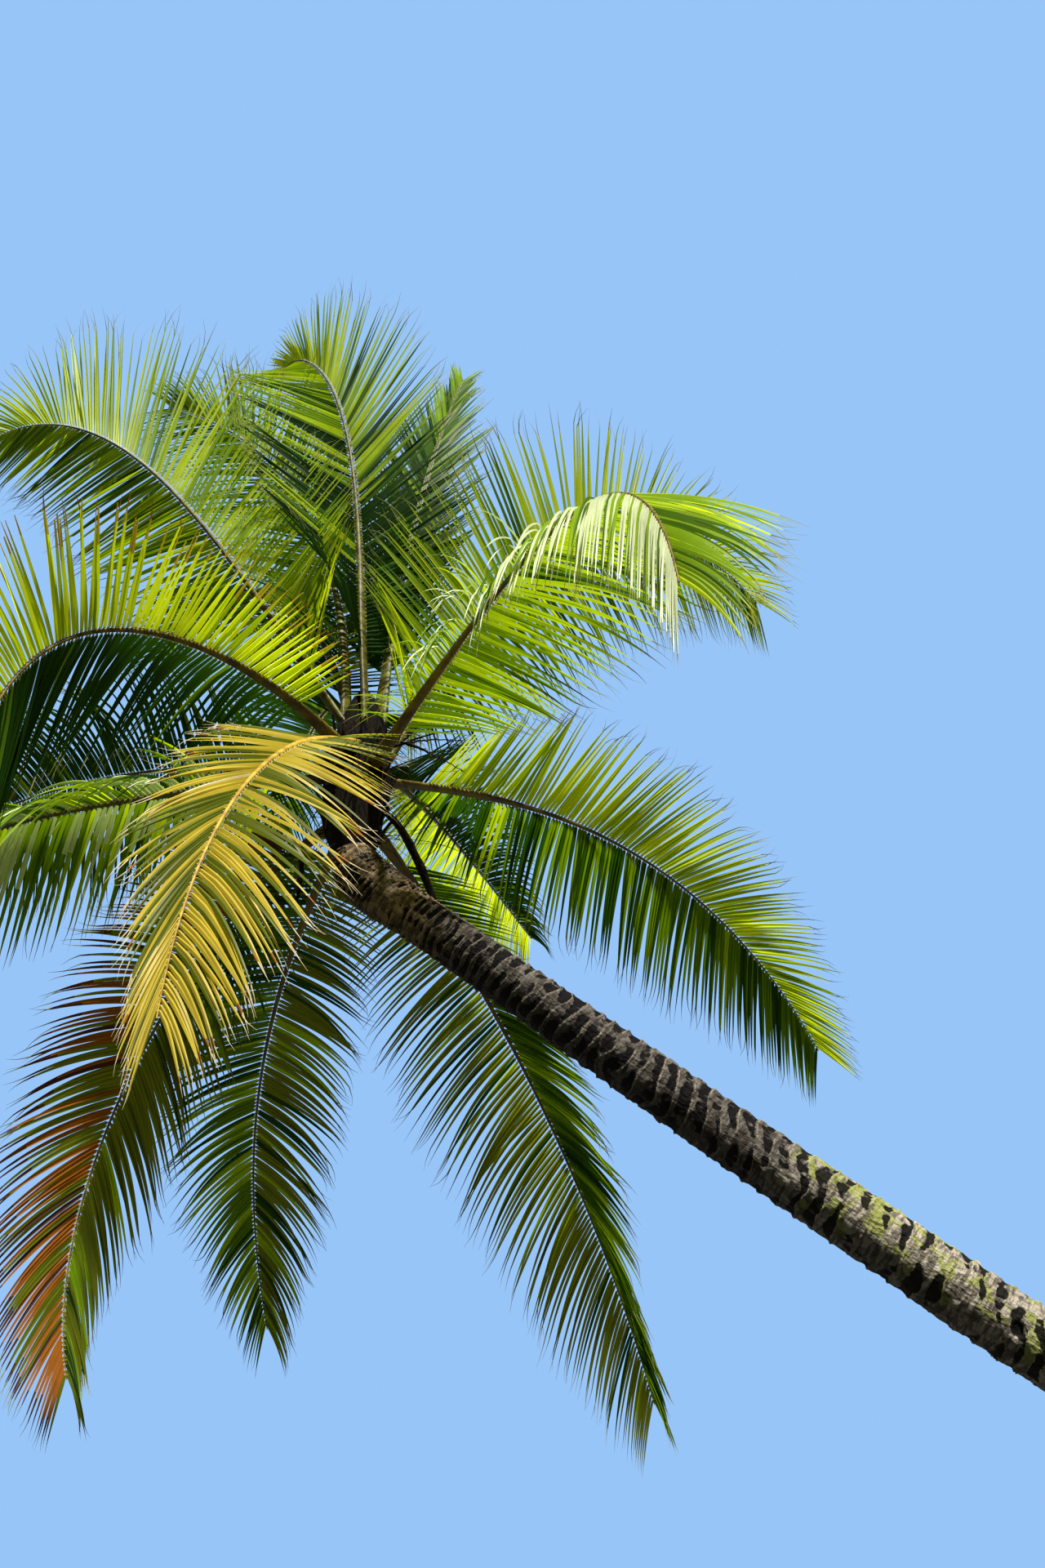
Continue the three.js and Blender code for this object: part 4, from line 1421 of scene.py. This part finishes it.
    def keep(self, piece: bpy.types.Object, name: str, values: Array) -> None:
        """Keep values at the trunk's points.

        Args:
            piece: The trunk's object.
            name: Name that the bark reads them by.
            values: One row a ring, one column a side, with one or three values each.
        """
        size = values.shape[-1]
        flat = values.reshape(-1, size)
        filled = np.zeros((len(piece.data.vertices), size))
        filled[:len(flat)] = flat
        filled[len(flat):] = flat[-1]
        kind, field_name = ("FLOAT_VECTOR", "vector") if size > 1 else ("FLOAT", "value")
        attribute = piece.data.attributes.new(name, kind, "POINT")
        attribute.data.foreach_set(field_name, filled.reshape(-1))


@dataclass
class Heart:
    """Fibrous column in the middle of the crown, with ragged sheaths of fibre round it.

    A pair of numbers is a range that chance picks from. strip_section is how far out a strip's
    left edge, middle and right edge lie.
    """

    line: TrunkLine
    rng: np.random.Generator
    # Brown fibre darkened nearly to black: painted shade of the crown's heart.
    finish: DryFinish = DryFinish(
        "matted_fibre_painted_shade", screen(26, 19, 12), screen(6, 5, 4),
        Cloud(90.0, 5.0, (1.0, 1.0, 0.15), (0.38, 0.62)), depth=0.008,
    )
    sides: int = 60
    rows: int = 70
    upright_from: float = 0.33
    folds: Waves = Waves(14, 1.2, 9)
    fold_middle: float = 0.97
    fold_reach: float = 0.035
    strips: int = 64
    strip_rows: int = 9
    strip_apart: float = 2.4
    strip_shift: Pair = (-0.3, 0.3)
    strip_low: Pair = (0.02, 0.55)
    strip_tall: Pair = (0.16, 0.36)
    strip_swing: Pair = (-0.5, 0.5)
    strip_lift: float = 0.006
    strip_fray: float = 0.07
    fray_spread: Pair = (0.1, 1.0)
    strip_width: float = 0.05
    width_spread: Pair = (0.5, 1.2)
    strip_narrower: float = 0.75
    strip_section: Triple = (-0.01, 0.004, -0.01)
    strip_rough: float = 0.003
    hairs: int = 150
    hair_rows: int = 9
    hair_height: Pair = (0.05, 0.7)
    hair_seat: float = 0.9
    hair_way: Pair = (-1.0, 0.5)
    hair_curl: float = 0.5
    hair_droop: float = 0.4
    hair_wave: float = 0.05
    hair_waves: float = 9.0
    hair_length: Pair = (0.1, 0.36)
    hair_radius: float = 0.0024
    hair_taper: float = 0.6
    hair_corners: int = 4

    def build(self) -> None:
        """Build the column, the sheaths and the stray fibres."""
        gathering = Gathering()
        gathering.grid(self.column())
        for number in range(self.strips):
            self.add_strip(gathering, number)
        stray = np.random.default_rng(SEED + 1)
        for _ in range(self.hairs):
            self.add_hair(gathering, stray)
        settle(gathering.build("fibre_heart", [dressed(self.finish)]), ["crown_heart"])

    def lean(self, height: Array) -> Array:
        """Place the column's middle, which rights itself over the leaning trunk.

        Args:
            height: Heights over the trunk's end.

        Returns:
            Places, one a row.
        """
        tilt = self.line.along(np.array([self.line.length]))
        upright = np.clip(height / self.upright_from, 0.0, 1.0)[:, None]
        return self.line.end + unit(tilt * (1 - upright) + UP * upright) * height[:, None]

    def column(self) -> Array:
        """Give the column's skin, rough as layered sheaths.

        Returns:
            Places by ring and by corner.
        """
        height = np.linspace(0.0, HEART_PROFILE[-1][0], self.rows)
        turn = 2 * np.pi * np.arange(self.sides) / self.sides
        folds = self.folds.deal(self.rng, height[:, None], turn[None, :])
        radius = between(HEART_PROFILE, height)[:, None] * (self.fold_middle + self.fold_reach * folds)
        return self.lean(height)[:, None, :] + self.level(radius, turn)

    @staticmethod
    def level(radius: Array, turn: Array) -> Array:
        """Give level places at a radius and an angle."""
        return np.stack([radius * np.cos(turn), radius * np.sin(turn), np.zeros_like(radius * turn)], axis=-1)

    def add_strip(self, gathering: Gathering, number: int) -> None:
        """Add one ragged strip of fibre that clings to the column and frays outwards.

        Args:
            gathering: Where it goes.
            number: Which strip it is.
        """
        rng = self.rng
        turn = self.strip_apart * number + rng.uniform(*self.strip_shift)
        low = rng.uniform(*self.strip_low)
        tall = rng.uniform(*self.strip_tall)
        place = np.linspace(0.0, 1.0, self.strip_rows)
        height = low + tall * place
        swing = turn + rng.uniform(*self.strip_swing) * place
        lift = self.strip_lift + self.strip_fray * rng.uniform(*self.fray_spread) * place**2
        radius = between(HEART_PROFILE, height) + lift
        width = self.strip_width * rng.uniform(*self.width_spread) * (1 - self.strip_narrower * place**2)
        spread = width / radius
        edges = np.stack([swing - spread, swing, swing + spread], axis=1)
        ragged = radius[:, None] + np.array(self.strip_section) + rng.normal(0, self.strip_rough, edges.shape)
        gathering.grid(self.lean(height)[:, None, :] + self.level(ragged, edges), closed=False)

    def add_hair(self, gathering: Gathering, rng: np.random.Generator) -> None:
        """Add one stray fibre that stands out from the column, droops and curls.

        Args:
            gathering: Where it goes.
            rng: Seeded source of chance.
        """
        turn = rng.uniform(0, 2 * np.pi)
        height = rng.uniform(*self.hair_height)
        out = self.level(np.array(1.0), np.array(turn))
        root = self.lean(np.array([height]))[0] + out * between(HEART_PROFILE, height) * self.hair_seat
        share = np.linspace(0.0, 1.0, self.hair_rows)[:, None]
        way = unit(out + UP * rng.uniform(*self.hair_way))
        curl = rng.normal(0, self.hair_curl, 3) - UP * self.hair_droop
        wave = rng.normal(0, self.hair_wave, 3) * np.sin(self.hair_waves * share)
        middle = root + rng.uniform(*self.hair_length) * (way * share + curl * share**2 + wave)
        gathering.rod(middle, self.hair_radius, self.hair_taper, self.hair_corners)


@dataclass(frozen=True)
class Shell:
    """Size of a dry shell: its widest, how hollow it is and how thick."""

    width: float
    depth: float
    thickness: float = 0.003


@dataclass
class DeadPieces:
    """Dry matter that hangs in the crown: two bracts and the stalk of an old flower.

    bract_points and stalk_points are places from the trunk's end. strip_run is where the second
    bract hangs on the rib of its carrier. Lengths are in metres and angles in degrees.
    """

    line: TrunkLine
    rng: np.random.Generator
    # Husk brown darkened as painted shade of the crown's heart.
    finish: DryFinish = DryFinish(
        "dry_husk_painted_shade", screen(44, 35, 28), screen(14, 11, 9), Cloud(60.0, 5.0, (1.0, 1.0, 0.15), (0.38, 0.62)),
    )
    sections: int = 26
    bract: Shell = Shell(0.058, 0.02)
    bract_points: tuple[Triple, ...] = (
        (0.11, 0.06, 0.33), (0.22, 0.12, 0.23), (0.335, 0.172, 0.01), (0.415, 0.212, -0.19),
        (0.44, 0.226, -0.3),
    )
    strip: Shell = Shell(0.036, 0.01)
    strip_carrier: str = "lower_left"
    strip_run: float = 0.4
    strip_length: float = 0.36
    arc: int = 8
    root_width: float = 0.55
    swell: float = 1.6
    tip_power: float = 6.0
    edge_rough: float = 0.08
    curl: float = 0.5
    curl_waves: float = 3.0
    stalk_points: tuple[Triple, ...] = ((0.04, -0.02, 0.56), (0.15, -0.06, 0.62), (0.25, -0.08, 0.65))
    stem_radius: float = 0.014
    stem_taper: float = 0.5
    twigs: int = 7
    twig_length: float = 0.34
    twig_spread: float = 110.0
    twig_swing: float = 20.0
    twig_droop: float = 0.035
    twig_rough: float = 0.0015
    twig_radius: float = 0.0065
    twig_taper: float = 0.75
    nubs: int = 16
    nubs_from: int = 4
    nub_length: float = 1.8
    nub_root: float = 0.2
    nub_rows: int = 3
    nub_radius: float = 0.004
    nub_taper: float = 0.6

    def build(self) -> None:
        """Build the bracts and the stalk."""
        husk = dressed(self.finish)
        bracts = Gathering()
        bract = smooth_line(np.array(self.bract_points) + self.line.end, self.sections)
        self.add_bract(bracts, bract, ASIDE, self.bract)
        carrier = next(plan for plan in FRONDS if plan.name == self.strip_carrier)
        top = Rib(carrier, self.line.end).place(np.array([self.strip_run]))[0]
        hanging = top - UP * np.linspace(0.0, self.strip_length, self.sections)[:, None]
        self.add_bract(bracts, hanging, BACK, self.strip)
        settle(bracts.build("dry_bracts", [husk]), ["dead_bract", "dead_strip"])
        stalk = Gathering()
        self.add_stalk(stalk)
        settle(stalk.build("dry_flower_stalk", [husk]), ["old_flower_stalk"])

    def add_bract(self, gathering: Gathering, middle: Array, broad: Array, shell: Shell) -> None:
        """Add a bract: a long dry shell, hollow on one side, narrow at both ends and a bit curled.

        Args:
            gathering: Where it goes.
            middle: Places along its middle line.
            broad: Direction that it is wide in.
            shell: Its size.
        """
        along = unit(np.gradient(middle, axis=0))
        face = unit(np.cross(broad, along))
        wide = np.cross(along, face)
        share = np.linspace(0.0, 1.0, len(middle))
        half = shell.width / 2 * (self.root_width + self.swell * share * (1 - share))
        half = half * (1 - share**self.tip_power) * (1 + self.edge_rough * self.rng.normal(size=len(share)))
        bow = np.linspace(-1.0, 1.0, self.arc)
        hollow = shell.depth * (1 - bow**2) - shell.depth / 2
        curled = wide + face * self.curl * np.sin(self.curl_waves * share)[:, None]
        level = curled[:, None] * (half[:, None] * bow)[..., None]
        outer, inner = (
            middle[:, None] + level + face[:, None] * (hollow + offset)[:, None]
            for offset in (shell.thickness / 2, -shell.thickness / 2)
        )
        gathering.grid(np.concatenate([outer, inner[:, ::-1]], axis=1)[:, ::-1])

    def add_stalk(self, gathering: Gathering) -> None:
        """Add the stem and its fan of stiff twigs, set with small nubs.

        Args:
            gathering: Where they go.
        """
        stem = np.array(self.stalk_points) + self.line.end
        fork, end = stem[1], stem[2]
        gathering.rod(smooth_line(stem, self.sections), self.stem_radius, self.stem_taper)
        outwards = unit(end - fork)
        for index in range(self.twigs):
            tilt = np.radians((index / (self.twigs - 1) - 0.5) * self.twig_spread)
            swing = np.radians(self.twig_swing if index % 2 else -self.twig_swing)
            reach = swung(swung(outwards, ASIDE, tilt), UP, swing) * self.twig_length
            root = fork + (end - fork) * (self.twigs + index) / (2 * self.twigs)
            tip = root + reach - UP * self.twig_droop
            points = smooth_line([root, root + reach / 2, tip], self.sections)
            points[1:] += self.rng.normal(0, self.twig_rough, (self.sections - 1, 3))
            gathering.rod(points, self.twig_radius, self.twig_taper)
            self.add_nubs(gathering, points)

    def add_nubs(self, gathering: Gathering, middle: Array) -> None:
        """Add the small stubs along a twig where its flowers sat.

        Args:
            gathering: Where they go.
            middle: Places along the twig.
        """
        for place in self.rng.integers(self.nubs_from, self.sections - 1, self.nubs):
            way = unit(self.rng.normal(size=3)) * self.twig_radius * self.nub_length
            out = np.linspace(self.nub_root, 1.0, self.nub_rows)[:, None]
            gathering.rod(middle[place] + way * out, self.nub_radius, self.nub_taper)


@dataclass(frozen=True)
class Lamp:
    """Far lamp: its strength, width in the sky, compass direction from +X and height in degrees."""

    name: str
    strength: float
    width: float
    compass: float
    height: float
    colour: Colour = (1.0, 0.96, 0.88)

    def hang(self) -> None:
        """Hang the lamp in the sky."""
        lamp = bpy.data.lights.new(self.name, "SUN")
        lamp.energy = self.strength
        lamp.angle = np.radians(self.width)
        lamp.color = self.colour
        hung = bpy.data.objects.new(self.name, lamp)
        hung.rotation_euler = (np.radians(90.0 - self.height), 0.0, np.radians(self.compass + 90.0))
        bpy.context.scene.collection.objects.link(hung)


@dataclass
class Stage:
    """Camera of the photograph, studio light and a pale floor.

    The camera's place and the floor are in metres, its pitch is in degrees over the level, and
    its lens and film are in millimetres.
    """

    camera_place: Triple = (-6.626, -6.54, 1.5)
    camera_pitch: float = 35.0
    camera_lens: float = 35.0
    camera_film: float = 36.0
    lamps: tuple[Lamp, ...] = (
        Lamp("key", 9.4, 2.0, -70.0, 55.0), Lamp("back_light", 0.25, 25.0, 100.0, 38.0),
    )
    sky: Colour = screen(152, 197, 248)
    fill: Colour = (0.86, 0.9, 0.78)
    fill_heights: Pair = (-0.3, 0.5)
    fill_strengths: Pair = (0.11, 0.13)
    floor_size: float = 60.0
    floor_dark: Colour = (0.25, 0.245, 0.23)
    floor_pale: Colour = (0.29, 0.285, 0.27)
    floor_cloud: Cloud = Cloud(0.8, 2.0)
    floor_roughness: float = 0.9

    def build(self) -> None:
        """Set up the camera, the light and the floor."""
        self.add_camera()
        for lamp in self.lamps:
            lamp.hang()
        self.add_surround()
        self.add_floor()
        bpy.context.scene.view_settings.view_transform = "Standard"

    def add_camera(self) -> None:
        """Place the camera where the photograph was taken."""
        lens = bpy.data.cameras.new("camera")
        lens.lens = self.camera_lens
        lens.sensor_width = self.camera_film
        camera = bpy.data.objects.new("camera", lens)
        camera.location = self.camera_place
        camera.rotation_euler = (np.radians(90 + self.camera_pitch), 0.0, 0.0)
        bpy.context.scene.collection.objects.link(camera)
        bpy.context.scene.camera = camera

    def add_surround(self) -> None:
        """Fill the shade with soft light, and show the plain sky behind the palm."""
        world = bpy.data.worlds.new("surround")
        world.use_nodes = True
        nodes, links = world.node_tree.nodes, world.node_tree.links
        nodes.clear()
        output = nodes.new("ShaderNodeOutputWorld")
        seen = nodes.new("ShaderNodeBackground")
        seen.inputs["Color"].default_value = (*self.sky, 1.0)
        light = nodes.new("ShaderNodeBackground")
        light.inputs["Color"].default_value = (*self.fill, 1.0)
        links.new(self.fill_by_height(nodes, links), light.inputs["Strength"])
        mix = nodes.new("ShaderNodeMixShader")
        path = nodes.new("ShaderNodeLightPath")
        links.new(path.outputs["Is Camera Ray"], mix.inputs["Fac"])
        links.new(light.outputs["Background"], mix.inputs[1])
        links.new(seen.outputs["Background"], mix.inputs[2])
        links.new(mix.outputs["Shader"], output.inputs["Surface"])
        bpy.context.scene.world = world

    def fill_by_height(self, nodes: bpy.types.Nodes, links: bpy.types.NodeLinks) -> Socket:
        """Make the fill stronger from above than from below.

        Args:
            nodes: Nodes of the surround.
            links: Links of the surround.

        Returns:
            Socket with the fill's strength by direction.
        """
        way = nodes.new("ShaderNodeTexCoord")
        split = nodes.new("ShaderNodeSeparateXYZ")
        share = nodes.new("ShaderNodeMapRange")
        ends = ("From Min", "From Max", "To Min", "To Max")
        for name, value in zip(ends, (*self.fill_heights, *self.fill_strengths)):
            share.inputs[name].default_value = value
        links.new(way.outputs["Generated"], split.inputs["Vector"])
        links.new(split.outputs["Z"], share.inputs["Value"])
        return share.outputs["Result"]

    def add_floor(self) -> None:
        """Lay a plain pale floor at ground level."""
        half = self.floor_size / 2
        mesh = bpy.data.meshes.new("floor")
        corners = [(-half, -half, 0), (half, -half, 0), (half, half, 0), (-half, half, 0)]
        mesh.from_pydata(corners, [], [(0, 1, 2, 3)])
        bench = Bench("pale_floor")
        face = bench.add("ShaderNodeBsdfPrincipled", Roughness=self.floor_roughness)
        shade = bench.noise(bench.here(), self.floor_cloud)
        bench.link(bench.blend(shade, self.floor_dark, self.floor_pale), face.inputs["Base Color"])
        bench.link(face.outputs["BSDF"], bench.output.inputs["Surface"])
        mesh.materials.append(bench.material)
        floor = bpy.data.objects.new("floor", mesh)
        bpy.context.scene.collection.objects.link(floor)
        floor.visible_diffuse = False


def main() -> None:
    """Build the palm piece by piece and report each."""
    logging.basicConfig(level=logging.INFO, format="%(message)s")
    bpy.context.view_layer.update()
    rng = np.random.default_rng(SEED)
    nodes = sorted(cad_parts)
    line = TrunkLine()
    Trunk(line, rng).build()
    Heart(line, rng).build()
    DeadPieces(line, rng).build()
    high = ("left_high", "left_crown", "top", "top_right", "back", "back_high", "right_high", "right_front")
    aged = {"yellow_front": "yellow_leaf", "lower_left": "brown_leaf"}
    groups = {
        "high": ("green_leaf", [plan for plan in FRONDS if plan.name in high]),
        "low": ("green_leaf", [plan for plan in FRONDS if plan.name not in high and plan.name not in aged]),
    }
    for name, slot in aged.items():
        groups[name] = (slot, [plan for plan in FRONDS if plan.name == name])
    for name, (slot, plans) in groups.items():
        Fronds(name, slot, plans, line, rng).build(nodes)
    Stage().build()


if __name__ == "__main__":
    main()
